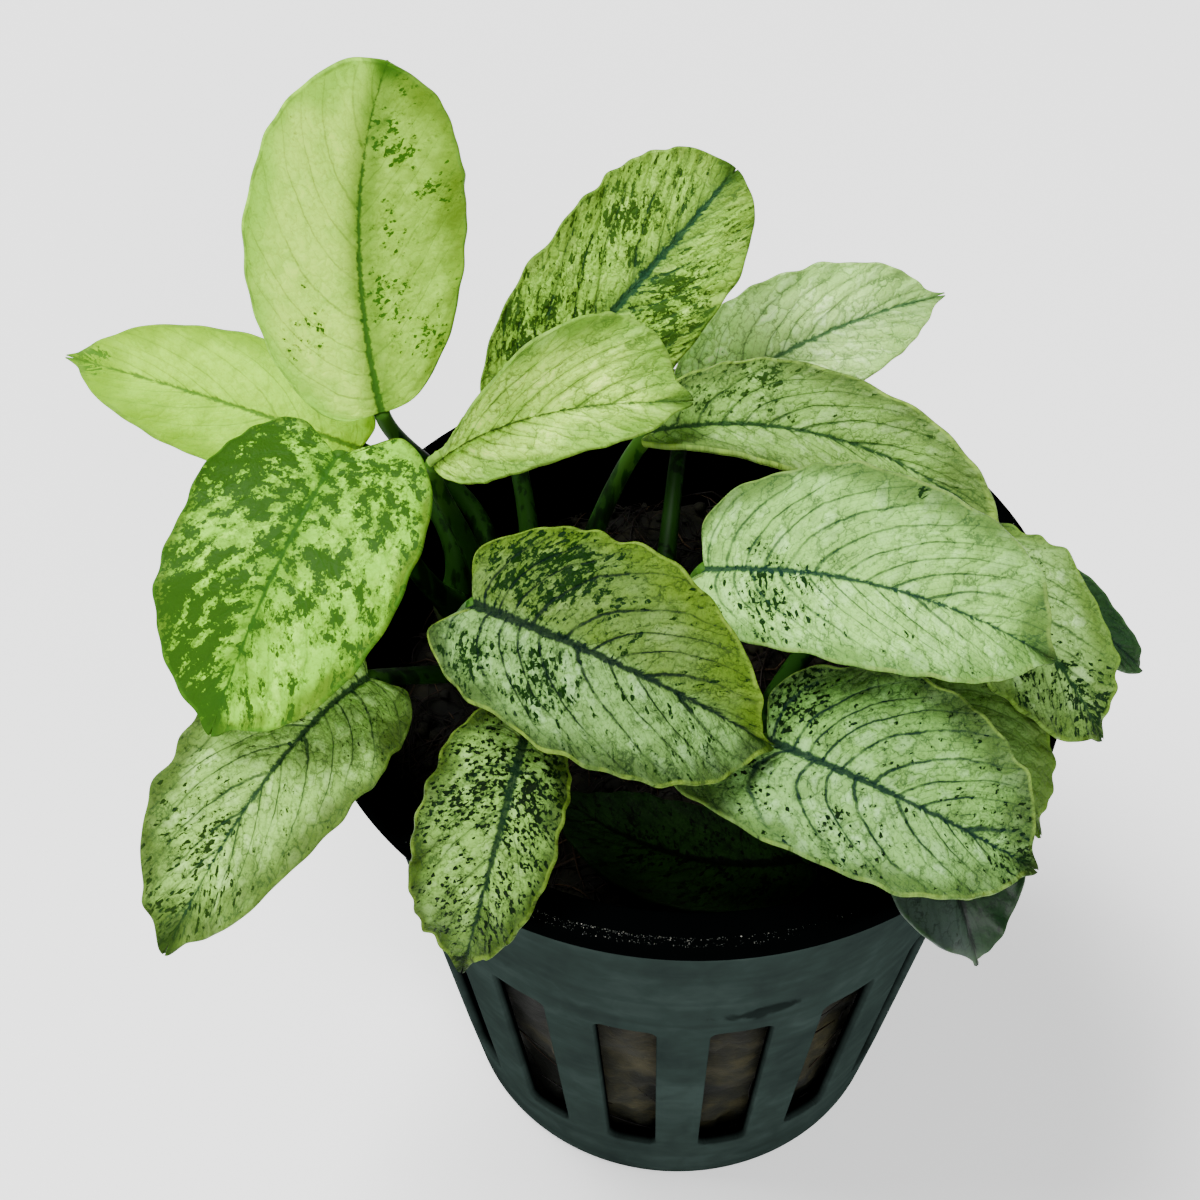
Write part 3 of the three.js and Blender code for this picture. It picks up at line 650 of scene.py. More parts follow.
# Lengths are millimetres, and pairs are (left, right), seen from the stalk with the upper face on top.
# face is where the upper side looks, and lift and curl are degrees at each half's (stalk end, tip end).
# root is where the stalk stands on the rhizome, as a share, and how far it leans aside, in degrees.
ORDINARY = {
    "widest": (0.42, 0.42), "full": (0.8, 0.8), "point": (1.1, 1.1), "lobe": (1, 1), "spike": 1,
    "lift": ((6, 6), (6, 6)), "curl": ((0, 0), (0, 0)), "rise": 8, "reach": 5, "veins": 10,
    "crimp": 0.3, "quilt": 1,
}
LEAVES = {
    "tall": {
        "midrib": ((-23, 11, 60), (-24.5, 17.5, 72), (-22, 20.5, 84)), "face": (0.15, -1, 0.5),
        "half": (8.1, 7.6), "widest": (0.45, 0.5), "full": (0.8, 1), "point": (0.95, 0.75), "spike": 0,
        "lobe": (0.5, 0.3), "lift": ((8, 8), (8, 8)), "root": (0.11, -40), "reach": 7, "crimp": 0.12,
        "quilt": 0.35,
    },
    "far_left": {
        "midrib": ((-25, 12, 55), (-35.8, 15, 56.5), (-47.7, 19.5, 56)), "face": (0, -0.6, 0.8),
        "half": (4.6, 5.4), "point": (1.2, 1.2), "root": (0.06, -5), "crimp": 0.15, "quilt": 0.5,
    },
    "heart": {
        "midrib": ((-24, -1.5, 68), (-27.5, -10, 65), (-31, -16.5, 58)), "face": (-0.2, -0.5, 0.8),
        "half": (9.2, 7.8), "widest": (0.38, 0.4), "full": (0.75, 0.42), "point": (1, 0.9),
        "lobe": (3, 1.8), "root": (0.07, 35), "rise": 12, "crimp": 0.15, "quilt": 0.4,
    },
    "low_left": {
        "midrib": ((-21.5, -11.5, 57), (-27.5, -17.5, 54), (-34, -25.5, 45.5)), "face": (-0.2, -0.5, 0.8),
        "half": (6.2, 6.7), "widest": (0.35, 0.5), "full": (0.7, 0.7), "point": (1, 0.8),
        "lobe": (2.5, 2), "root": (0.36, 55), "rise": 4,
    },
    "over_rim": {
        "midrib": ((-10.5, -17, 58), (-12, -23.5, 54.5), (-14, -26.5, 46)), "face": (-0.1, -0.7, 0.7),
        "half": (4, 5.4), "widest": (0.35, 0.5), "full": (0.7, 0.42), "point": (1.1, 0.9),
        "lobe": (1, 2), "root": (0.48, 50), "veins": 7,
    },
    "front": {
        "midrib": ((-14, -11.5, 65), (-4, -17, 66), (5, -18.5, 61)), "face": (0, -0.5, 0.85),
        "half": (7.4, 6.8), "widest": (0.38, 0.45), "full": (0.75, 0.75), "point": (1.6, 0.95),
        "lobe": (1.5, 2.4), "root": (0.2, 45), "rise": 10, "veins": 11,
    },
    "low_right": {
        "midrib": ((5.5, -17, 59), (14, -22, 60), (22, -24.5, 57)), "face": (0, -0.4, 0.9),
        "half": (7.6, 6.3), "widest": (0.42, 0.3), "full": (0.7, 0.6), "point": (1, 1),
        "lobe": (1.5, 8), "root": (0.78, 35), "veins": 11,
    },
    "pale": {
        "midrib": ((1, -8.5, 66), (12, -12, 69), (22.5, -14.5, 66)), "face": (0, -0.5, 0.85),
        "half": (7.3, 5.4), "widest": (0.42, 0.45), "full": (0.75, 0.75), "point": (0.95, 0.95),
        "lobe": (0.5, 3.2), "root": (0.66, 5), "rise": 10, "veins": 13, "crimp": 0.18,
    },
    "folded": {
        "midrib": ((-3, 7, 63), (9.5, 4, 66), (20.5, -2, 64)), "face": (0, -0.6, 0.8),
        "half": (4.6, 4), "widest": (0.34, 0.42), "point": (1.3, 1), "lift": ((6, 6), (50, 5)),
        "curl": ((0, 0), (30, 0)), "root": (0.3, -35), "veins": 12,
    },
    "twisted": {
        "midrib": ((-18.5, 4.5, 61.5), (-11.5, 5.2, 65.8), (-1.5, 5, 68)), "face": (0, -0.6, 0.8),
        "half": (6.4, 3.5), "widest": (0.78, 0.4), "full": (3.2, 0.8), "point": (0.8, 0.8), "lobe": (0, 0),
        "lift": ((90, 5), (6, 6)), "curl": ((30, 0), (0, 0)), "root": (0.14, 5), "veins": 9, "crimp": 0.15,
    },
    "back": {
        "midrib": ((-12.5, 12, 60), (-5, 17.5, 67), (2, 22.5, 74)), "face": (0.1, -0.75, 0.65),
        "half": (7, 6), "widest": (0.56, 0.38), "full": (0.85, 0.7), "point": (0.72, 0.8),
        "lobe": (2.5, 3), "spike": 0.3, "root": (0.22, -25), "crimp": 0.25,
    },
    "back_right": {
        "midrib": ((0, 17, 56), (8.5, 20.5, 60), (17.5, 24.5, 61)), "face": (0, -0.7, 0.7),
        "half": (5.4, 4.6), "point": (1.4, 1.1), "root": (0.52, -40), "veins": 9,
    },
    "right": {
        "midrib": ((16.2, -1, 62), (22.6, -8.5, 61.5), (27.6, -12.5, 56)), "face": (0.3, -0.4, 0.8),
        "half": (5.4, 5), "widest": (0.38, 0.5), "point": (1.1, 0.9), "root": (0.84, -30),
    },
    "under_right": {
        "midrib": ((12.4, -11.2, 58.3), (18.8, -15.1, 58.5), (23.7, -17.6, 52)), "face": (0.3, -0.4, 0.8),
        "half": (4.6, 4), "widest": (0.5, 0.5), "root": (0.91, 0), "veins": 8,
    },
    "far_right": {
        "midrib": ((22.5, 1.5, 57), (27.5, -2.5, 56), (32, -4, 52)), "face": (0.2, -0.3, 0.95),
        "half": (2.4, 2.4), "point": (1.5, 1.5), "lobe": (0.5, 0.5), "spike": 0, "root": (0.92, -55),
        "rise": 5, "veins": 6, "crimp": 0.1,
    },
    "dark_hanging": {
        "midrib": ((16.3, -15.6, 52.5), (18.3, -23.1, 51.9), (19.9, -26.1, 47.8)), "face": (0.2, -0.6, 0.7),
        "half": (4.6, 4.4), "widest": (0.46, 0.42), "point": (2.5, 2.8), "lobe": (0, 0), "spike": 0.2,
        "root": (0.93, 45), "veins": 7, "crimp": 0.1, "quilt": 0.12,
    },
    "in_pot": {
        "midrib": ((8.5, -16.5, 45), (0, -17, 45.5), (-8.5, -11.5, 44)), "face": (0, -0.2, 0.95),
        "half": (4, 4), "root": (0.86, 75), "rise": 2, "reach": 2, "veins": 7, "crimp": 0.15, "quilt": 0.5,
    },
}
for leaf_name, given in LEAVES.items():
    leaf = {**ORDINARY, **given}
    stalk, middle, tip = (np.array(p, float) for p in leaf["midrib"])
    leaf["name"] = leaf_name
    leaf["length"] = np.linalg.norm(middle - stalk) + np.linalg.norm(tip - middle)
    LEAVES[leaf_name] = leaf

BLADE_THICKNESS = 0.44
MARGIN_THINNING = 0.45
STALK_HALF_WIDTH = 0.55
TIP_HALF_WIDTH = 0.08
BLADE_COLUMNS = 72
BLADE_ROWS = 150
VEIN_SLANT = 0.15
VEIN_SWEEP = 0.07
VEIN_SWAY = 0.42
VEIN_DIP = 0.13
MIDRIB_GROOVE = 0.14
MIDRIB_KEEL = 0.38
MARGIN_BEAD = 0.1
MARGIN_WAVES = 3
MARGIN_WAVE_HEIGHT = 0.3
CRIMP_OUTWARDS = 0.13
CRIMP_UPWARDS = 1.2
ROW_BOW = 0.48
GROOVE_REACH = 0.42
KEEL_REACH = 0.5
BEAD_REACH = 0.22
MARGIN_ROUNDING = 0.1


def smooth(share):
    """A rise from 0 to 1 that starts and ends softly."""
    share = np.clip(share, 0, 1)
    return share * share * (3 - 2 * share)


def outline_at(leaf, share, side):
    """The blade's outline on each side, in its own flat: across and along."""
    half, widest_share, full, point, lobe = (
        np.array(leaf[key], float)[side] for key in ("half", "widest", "full", "point", "lobe"))
    length = leaf["length"]
    widest = length * widest_share
    turn = (share ** 0.85 - 0.5) * math.pi
    rounded = np.maximum(0, np.cos(turn))
    near = turn < 0
    across = half * rounded ** np.where(near, full, point)
    along = widest + np.where(near, widest + lobe, length - widest) * np.sin(turn)
    along += np.where(near, lobe * (1 - smooth(across / (0.45 * half))), 0)
    along += np.where(near, 0, leaf["spike"] * np.maximum(0, np.sin(turn)) ** 200)
    return np.maximum(across, mix(STALK_HALF_WIDTH, TIP_HALF_WIDTH, share)), along


def midrib_at(leaf, along):
    """Where the midrib is, which way it runs, which way it faces and what lies across it."""
    stalk, middle, tip = (np.array(p, float) for p in leaf["midrib"])
    share = along / leaf["length"]
    k = np.clip(share, 0, 1)[:, None]
    run = stalk * (4 * k - 3) + middle * (4 - 8 * k) + tip * (4 * k - 1)
    spot = stalk * (1 - k) * (1 - 2 * k) + middle * 4 * k * (1 - k) + tip * k * (2 * k - 1)
    spot = spot + run * (share[:, None] - k)
    run = unit(run)
    face = np.array(leaf["face"], float)
    up = unit(face - run * (run @ face)[:, None])
    return spot, run, up, np.cross(run, up)


def ripples(draw, place, counts, side):
    """A sum of waves between about -1 and 1, with phases and heights drawn for each half of a blade."""
    halves = []
    for _ in range(2):
        total = np.zeros_like(place)
        for count in counts:
            total += draw.uniform(0.4, 1) * np.sin(2 * math.pi * (count * place + draw.random()))
        halves.append(total / len(counts) ** 0.5)
    return np.where(side == 0, *halves)


def blade_places(leaf, share, out, face):
    """Corner places of a blade in millimetres, and what its skin needs to know of each.

    share runs from the stalk to the tip, out from the left margin at -1 to the right one
    at 1, and face is 1 on the upper side, -1 on the under side and 0 on the margin's edge.
    """
    draw = np.random.default_rng(sum(map(ord, leaf["name"])))
    side = (out >= 0).astype(int)
    sign = np.where(out < 0, -1.0, 1.0)
    reach = np.abs(out)
    half = np.array(leaf["half"], float)[side]
    edge_across, edge_along = outline_at(leaf, share, side)
    ends = np.sqrt(np.maximum(0, np.sin(math.pi * share)))
    crimp = leaf["crimp"]
    crimped = CRIMP_OUTWARDS * crimp * ripples(draw, share, (3, 5, 8, 13), side) * ends
    edge_across = edge_across * (1 + crimped)
    start = leaf["length"] * share ** 1.5
    bow = ROW_BOW * half * reach * (1 - reach) * np.sin(math.pi * share)
    along = mix(start, edge_along, reach) - bow
    k = np.clip(along / leaf["length"], 0, 1)
    lift, curl = (mix(*np.radians(np.array(leaf[key], float))[side].T, k) for key in ("lift", "curl"))
    slope = lift + curl * edge_across * reach / half
    curled = np.abs(curl) > 0.01
    bend = half / np.where(curled, curl, 1)
    rib = edge_across * reach
    aside = np.where(curled, bend * (np.sin(slope) - np.sin(lift)), rib * np.cos(lift))
    height = np.where(curled, bend * (np.cos(lift) - np.cos(slope)), rib * np.sin(lift))
    wave = np.sin(2 * math.pi * MARGIN_WAVES * share + 2 * side)
    height = height + MARGIN_WAVE_HEIGHT * reach ** 2.5 * wave * ends
    height = height + CRIMP_UPWARDS * crimp * reach ** 4 * ripples(draw, share, (4, 7, 11), side) * ends

    edge = edge_across * (1 - reach)
    swept = share - ends * (VEIN_SLANT * reach + VEIN_SWEEP * reach ** 2)
    vein = leaf["veins"] * swept + 0.45 * side + VEIN_SWAY * ripples(draw, swept, (1.3, 2.9), side)
    between = np.abs((vein % 1) - 0.5) * 2
    quilt = leaf["quilt"] * smooth(reach / 0.15) * (1 - smooth((reach - 0.75) / 0.22)) * ends
    relief = -VEIN_DIP * between ** 6 * quilt + 0.6 * VEIN_DIP * (1 - between ** 2) * quilt
    groove = MIDRIB_GROOVE * np.exp(-(rib / GROOVE_REACH) ** 2) * (1 - 0.6 * share)
    keel = MIDRIB_KEEL * np.exp(-(rib / KEEL_REACH) ** 2) * (1 - 0.8 * share)
    bead = MARGIN_BEAD * np.exp(-(edge / BEAD_REACH) ** 2)
    thick = BLADE_THICKNESS / 2 * (1 - MARGIN_THINNING * reach)
    upper = thick + relief + bead - groove
    under = -thick + relief - bead - keel
    depth = np.where(face > 0.5, upper, np.where(face < -0.5, under, 0))
    swell = np.where(np.abs(face) < 0.5, MARGIN_ROUNDING, 0.0)
    tilt = np.where(reach > 0, slope, 0)
    spot, run, up, across = midrib_at(leaf, along)
    spot = spot + across * (sign * (aside + swell * np.cos(tilt) - depth * np.sin(tilt)))[:, None]
    spot = spot + up * (height + swell * np.sin(tilt) + depth * np.cos(tilt))[:, None]
    drawn = np.stack([sign * rib, leaf["length"] * swept, 0.3 * side], 1)
    return spot, np.stack([sign * rib, along, share], 1), drawn, np.stack([rib, edge, vein], 1)


def build_blade(leaf):
    """Two flat grids joined at their edges, whose corners are then moved to their places on the blade."""
    bm = bmesh.new()
    bmesh.ops.create_grid(bm, x_segments=BLADE_COLUMNS, y_segments=BLADE_ROWS, size=1,
                          matrix=Matrix.Translation((0, 0, 1)))
    copied = bmesh.ops.duplicate(bm, geom=bm.verts[:] + bm.edges[:] + bm.faces[:])
    under = [e for e in copied["geom"] if isinstance(e, bmesh.types.BMVert)]
    bmesh.ops.translate(bm, verts=under, vec=(0, 0, -2))
    bmesh.ops.reverse_faces(bm, faces=[f for f in copied["geom"] if isinstance(f, bmesh.types.BMFace)])
    walls = bmesh.ops.bridge_loops(bm, edges=[e for e in bm.edges if e.is_boundary])
    posts = {e for f in walls["faces"] for e in f.edges if abs(e.verts[0].co.z - e.verts[1].co.z) > 1}
    bmesh.ops.subdivide_edges(bm, edges=list(posts), cuts=1)
    bmesh.ops.recalc_face_normals(bm, faces=bm.faces)
    mesh = mesh_of(bm)
    flat = np.zeros(len(mesh.vertices) * 3)
    mesh.vertices.foreach_get("co", flat)
    out, share, face = flat.reshape(-1, 3).T
    out = np.sign(out) * mix(np.abs(out), 0.5 - 0.5 * np.cos(math.pi * np.abs(out)), 0.6)
    share = np.clip(share / 2 + 0.5, 0, 1)
    places, flat_place, drawn, marks = blade_places(leaf, share, out, np.rint(face))
    set_places(mesh, places * MM)
    marked(mesh, "flat_mm", flat_place)
    marked(mesh, "drawn_mm", drawn)
    marked(mesh, "rib_edge_vein", marks)
    marked(mesh, "upper_side", face > -0.5)
    return mesh


# Leaf skin: living leaf tissue, waxy and satin. The pale ground lacks green cells, and the
# flecks and blotches are groups of green ones, drawn out along the side veins.

# ground and warm are the (left, right) colours, or one for both halves, and warm lies along the margin.
# amount is how flecked the (left, right) half is, by_tip how much more so the tip, zones how unevenly.
# A patch is (across, along, radius) in millimetres and how much more it is flecked. drawn turns the
# flecks from straight at 0 to the side veins' run at 1, stretch squeezes them across it where under 1,
# and band is the midrib band's half width in millimetres at its (stalk end, tip end).
ORDINARY_SKIN = {
    "amount": (-0.1, -0.1), "by_tip": 0.0, "fleck_mm": 0.5, "zones": 0.3, "gloss": 0.42,
    "specular": 0.04, "vein_dark": 0.6, "band": (0.42, 0.12), "half_tone": 0.3, "midrib_shade": 0.0,
    "warm_mm": 2.2, "drawn": 0.35, "stretch": 0.85, "mosaic_mm": 0.2, "cell_highlights": 0.9, "net": 0.6,
    "patches": (),
}
SKINS = {
    "tall": {
        "ground": ("#cbff4e", "#9ccf3a"), "warm": ("#9edc38", "#6d951f"), "fleck": "#30600c",
        "rib": "#2c5a16", "rim": "#5f8c28", "amount": (-0.17, -0.11), "fleck_mm": 0.42, "vein_dark": 0.3,
        "band": (0.32, 0.06), "midrib_shade": 0.55, "net": 0.15, "cell_highlights": 0.3,
        "patches": (
            (1.5, 20.7, 3, 0.14), (5.5, 17, 2.5, 0.13), (2.5, 12.5, 2.5, 0.09), (2, 7.5, 3, 0.11),
            (4.5, 4, 3, 0.1), (-4.5, 6, 2.5, 0.16), (1.5, 25.5, 1.5, 0.12),
        ),
    },
    "far_left": {
        "ground": ("#a8e622", "#b0ea2c"), "warm": ("#7fb30f", "#88ba18"), "fleck": "#4c7c1c",
        "rib": "#4e7c22", "rim": "#6a9628", "amount": (-0.25, -0.25),
        "patches": ((0.5, 23.2, 2.4, 0.36),), "vein_dark": 0.35, "band": (0.25, 0.1), "net": 0.15,
        "cell_highlights": 0.25,
    },
    "heart": {
        "ground": ("#8ed82b", "#8cd42a"), "warm": ("#587c1a", "#58801e"), "fleck": "#2e5412",
        "rib": "#2a5614", "rim": "#44761a", "amount": (0.01, 0.045), "fleck_mm": 0.9, "vein_dark": 0.3,
        "zones": 0.2, "half_tone": 0.5, "warm_mm": 1.0, "midrib_shade": 0.4, "band": (0.3, 0.1), "drawn": 0.45,
        "mosaic_mm": 0.18, "net": 0.2,
        "patches": (
            (4.9, 4.5, 6, 0.09), (4.4, 0.6, 4, 0.06), (4, 13.3, 6, 0.07), (6.5, 11.8, 4, 0.06),
            (1, 19.4, 2.6, 0.15), (-2.5, 1, 4, 0.09), (-3, 9, 4, 0.08), (-6.3, 3, 3, 0.06),
            (5, 7.8, 2.6, -0.1), (-1.5, 14, 4, -0.05),
        ),
    },
    "low_left": {
        "ground": ("#98cb5b",), "warm": ("#4f6b29",), "fleck": "#1e340c", "rib": "#1c3820",
        "rim": "#5a7a2c", "amount": (-0.09, -0.05), "by_tip": 0.14, "fleck_mm": 0.34, "vein_dark": 0.8,
        "band": (0.3, 0.1),
        "patches": ((-4, 3, 3, 0.06), (3, 17, 5, 0.02)),
    },
    "over_rim": {
        "ground": ("#82b04e",), "warm": ("#374f17",), "fleck": "#091a04", "rib": "#122a16",
        "rim": "#6c8a2e", "amount": (0.0, 0.0), "fleck_mm": 0.3,
        "patches": ((0, 3, 4, 0.07), (-3, 5, 3, 0.06), (3, 6, 2.5, 0.07)),
    },
    "front": {
        "ground": ("#5c7c33", "#7aa856"), "warm": ("#527219", "#405a28"), "fleck": "#0d2805",
        "rib": "#0a1c14", "rim": "#7c9c36", "amount": (-0.07, -0.07), "fleck_mm": 0.32, "vein_dark": 0.9,
        "band": (0.42, 0.12), "half_tone": 0.4, "drawn": 0.5, "stretch": 0.6,
        "patches": (
            (-4, 3.2, 5, 0.15), (-5, 8, 4, 0.09), (3.5, 1.7, 2.6, 0.16), (3.2, 6.5, 3.6, 0.15),
            (0, 0, 4, 0.06), (2, 17, 4, 0.05),
        ),
    },
    "low_right": {
        "ground": ("#78aa51", "#82b45e"), "warm": ("#48642d", "#4e6e32"), "fleck": "#0a1d06",
        "rib": "#0e261e", "rim": "#7a9a40", "amount": (-0.07, -0.07), "by_tip": 0.12, "fleck_mm": 0.28,
        "vein_dark": 0.9, "band": (0.36, 0.12),
        "patches": ((-3.5, 0.5, 4, 0.12), (3.5, 0.8, 3, 0.08), (3.5, 8, 4, 0.05)),
    },
    "pale": {
        "ground": ("#96d063", "#a0dc6d"), "warm": ("#5a7e37", "#70a048"), "fleck": "#132d0c",
        "rib": "#163426", "rim": "#80a04a", "amount": (-0.14, -0.12), "fleck_mm": 0.23, "vein_dark": 0.7,
        "band": (0.26, 0.1), "warm_mm": 1.8, "stretch": 0.5,
        "patches": ((2.2, 4.5, 5.5, 0.17), (-6.4, 12.7, 0.6, 0.3)),
    },
    "folded": {
        "ground": ("#84b250",), "warm": ("#5a7834",), "fleck": "#243f10", "rib": "#20401e",
        "rim": "#8cb044", "amount": (-0.09, -0.11), "vein_dark": 0.7, "band": (0.35, 0.12),
        "patches": ((-3, 5, 4, 0.13), (-3.8, 8.5, 3, 0.07)),
    },
    "twisted": {
        "ground": ("#caff5a",), "warm": ("#7aab35",), "fleck": "#304e16", "rib": "#3c6028",
        "rim": "#74983a", "amount": (-0.2, -0.2), "band": (0.24, 0.1),
    },
    "back": {
        "ground": ("#9ad044",), "warm": ("#7aa432",), "fleck": "#305014", "rib": "#1c4028",
        "rim": "#5c8224", "drawn": 0.6, "amount": (0.0, -0.02), "fleck_mm": 0.5, "vein_dark": 0.5,
        "zones": 0.35, "band": (0.5, 0.2), "half_tone": 0.45, "midrib_shade": 0.4,
        "patches": (
            (-1.5, 4, 5, 0.09), (3, 12, 5, 0.09), (-3.5, 15, 3, 0.04), (0, 21, 3, -0.08),
        ),
    },
    "back_right": {
        "ground": ("#c8f88a",), "warm": ("#a2d26a",), "fleck": "#4c7638", "rib": "#3a6038",
        "rim": "#84aa54", "amount": (-0.18, -0.18), "vein_dark": 0.5, "band": (0.3, 0.12), "midrib_shade": 0.3,
    },
    "right": {
        "ground": ("#8fbc63",), "warm": ("#5c7e32",), "fleck": "#10280c", "rib": "#1c3a1e",
        "rim": "#6a8c30", "by_tip": 0.2, "fleck_mm": 0.42, "vein_dark": 0.7,
        "patches": ((2, 10, 5, 0.1), (3, 14, 4, 0.08)),
    },
    "under_right": {
        "ground": ("#4e702e",), "warm": ("#486524",), "fleck": "#1e3704", "rib": "#264216",
        "rim": "#54741e",
    },
    "far_right": {
        "ground": ("#28422a",), "warm": ("#203a1c",), "fleck": "#162a18", "rib": "#12241a",
        "rim": "#3c5a32", "vein_dark": 0.3, "gloss": 0.34, "cell_highlights": 0.0,
    },
    # Painted sheen: the right half of dark_hanging is coloured lighter grey for its gloss.
    "dark_hanging": {
        "ground": ("#16301a", "#36463c"), "warm": ("#1c381c", "#34423a"), "fleck": "#0e1a10",
        "rib": "#0c1610", "rim": "#2c4826", "vein_dark": 0.3, "gloss": 0.36, "specular": 0.2,
        "cell_highlights": 0.0,
    },
    # Painted shade: in_pot is coloured near black for the shade it lies in deep inside the cup.
    "in_pot": {
        "ground": ("#17300e",), "warm": ("#0e200a",), "fleck": "#040a03", "rib": "#030702",
        "rim": "#0e1c08", "amount": (0.0, 0.0), "vein_dark": 0.4, "gloss": 0.5, "cell_highlights": 0.0,
    },
}
# Painted highlight: a lightening laid over the raised cells between the veins.
CELL_HIGHLIGHT = (1.55, 1.4, 2.1, 1)
ZONE_MM = 3.5
VEIN_HALF_MM = 0.075
SMALL_VEIN_HALF_MM = 0.03
CELL_MM = 0.95
MARGIN_MM = 0.17
SOFT = {"interpolation_type": "SMOOTHSTEP"}


def blade_material(leaf, skin):
    """Anubias blade: ground, zones of green flecks, dark side veins, midrib band and a thickened margin.

    Each coat of colour goes over the ones before it, as far as its cover reaches from 0 to 1.
    """
    material, tree, shader = new_material("leaf_skin_" + leaf["name"])

    def jittered(value, pattern, by):
        """A value pushed up and down by a pattern that runs from 0 to 1."""
        swing = add(tree, "Math", pattern, 0.5, operation="SUBTRACT")
        return add(tree, "Math", swing, by, value, operation="MULTIPLY_ADD")

    def faded(cover, *fades):
        """A cover thinned by each of its fades in turn."""
        for fade in fades:
            cover = add(tree, "Math", cover, fade, operation="MULTIPLY")
        return cover

    flat, drawn, marks = (add(tree, "Attribute", attribute_name=name).node.outputs["Vector"]
                          for name in ("flat_mm", "drawn_mm", "rib_edge_vein"))
    upper = add(tree, "Attribute", attribute_name="upper_side").node.outputs["Fac"]
    rib, edge, vein = add(tree, "SeparateXYZ", marks).node.outputs
    across, along, share = add(tree, "SeparateXYZ", flat).node.outputs
    seed = 3.7 * len(leaf["name"]) + 1.3 * leaf["length"]
    drawn = add(tree, "Mix", Factor=skin["drawn"], A=flat, B=drawn, data_type="VECTOR")
    stretched = add(tree, "Mapping", drawn, Location=(seed, seed, 0), Scale=(skin["stretch"], 1, 1))
    mosaic = add(tree, "TexVoronoi", stretched, Scale=1 / skin["mosaic_mm"]).node.outputs["Position"]
    wobble, bends, cloud, patchy, grainy, coarse, fine = (
        add(tree, "TexNoise", place, Scale=1 / size_mm, Detail=detail, Roughness=rough)
        for place, size_mm, detail, rough in (
            (flat, 1.1, 4.0, 0.6), (flat, 0.7, 3.0, 0.6), (flat, 4.5, 3.0, 0.6), (flat, 1.3, 4.0, 0.6),
            (flat, 0.2, 3.0, 0.6), (stretched, ZONE_MM, 3.0, 0.6), (mosaic, skin["fleck_mm"], 4.0, 0.66)))

    zone = jittered(add(tree, "MapRange", across, -0.8, 0.8, *skin["amount"]), coarse, skin["zones"])
    zone = add(tree, "Math", zone, add(tree, "MapRange", share, 0.7, 1.0, 0.0, skin["by_tip"]))
    for patch_across, patch_along, radius, amount in skin["patches"]:
        middle = (patch_across, patch_along, patch_along / leaf["length"])
        away = add(tree, "VectorMath", flat, middle, operation="DISTANCE").node.outputs["Value"]
        away = jittered(away, patchy, -1.5 * radius)
        patch = add(tree, "MapRange", away, radius, 0.3 * radius, 0.0, amount, **SOFT)
        zone = add(tree, "Math", zone, patch)
    flecked = add(tree, "Math", jittered(fine, grainy, 0.3), zone)

    warped = add(tree, "VectorMath", stretched, bends.node.outputs["Color"])
    cells = add(tree, "TexVoronoi", warped, Scale=1 / CELL_MM, feature="DISTANCE_TO_EDGE")
    tones = add(tree, "TexVoronoi", warped, Scale=1 / CELL_MM).node.outputs["Color"]

    pitch_mm = leaf["length"] / leaf["veins"]
    half = VEIN_HALF_MM / pitch_mm
    phase = add(tree, "Math", wobble, 0.22, vein, operation="MULTIPLY_ADD")
    off = add(tree, "Math", phase, 0.5, operation="PINGPONG")
    widened = add(tree, "Math", off, add(tree, "MapRange", rib, 0.3, 2.2, 0.02, 0.0), operation="SUBTRACT")
    main = faded(add(tree, "MapRange", widened, 1.6 * half, 0.4 * half, **SOFT),
                 add(tree, "MapRange", edge, 0.5, 2.5, 0.15, skin["vein_dark"]),
                 add(tree, "MapRange", patchy, 0.36, 0.52, 0.45))
    half = 3 * SMALL_VEIN_HALF_MM / pitch_mm
    tripled = add(tree, "Math", phase, 3.0, operation="MULTIPLY")
    small_off = add(tree, "Math", tripled, 0.5, operation="PINGPONG")
    small = faded(add(tree, "MapRange", small_off, 1.6 * half, 0.4 * half, **SOFT),
                  add(tree, "MapRange", fine, 0.42, 0.6, 0.0, 0.7 * skin["vein_dark"]))
    band_half = add(tree, "MapRange", along, 0.0, leaf["length"], *skin["band"])
    ragged = add(tree, "Math", jittered(band_half, fine, 0.7), rib, operation="SUBTRACT")

    right_half = add(tree, "MapRange", across, -0.8, 0.8)
    colour, warm = (add(tree, "Mix", Factor=right_half, A=skin[tone][0], B=skin[tone][-1], data_type="RGBA")
                    for tone in ("ground", "warm"))
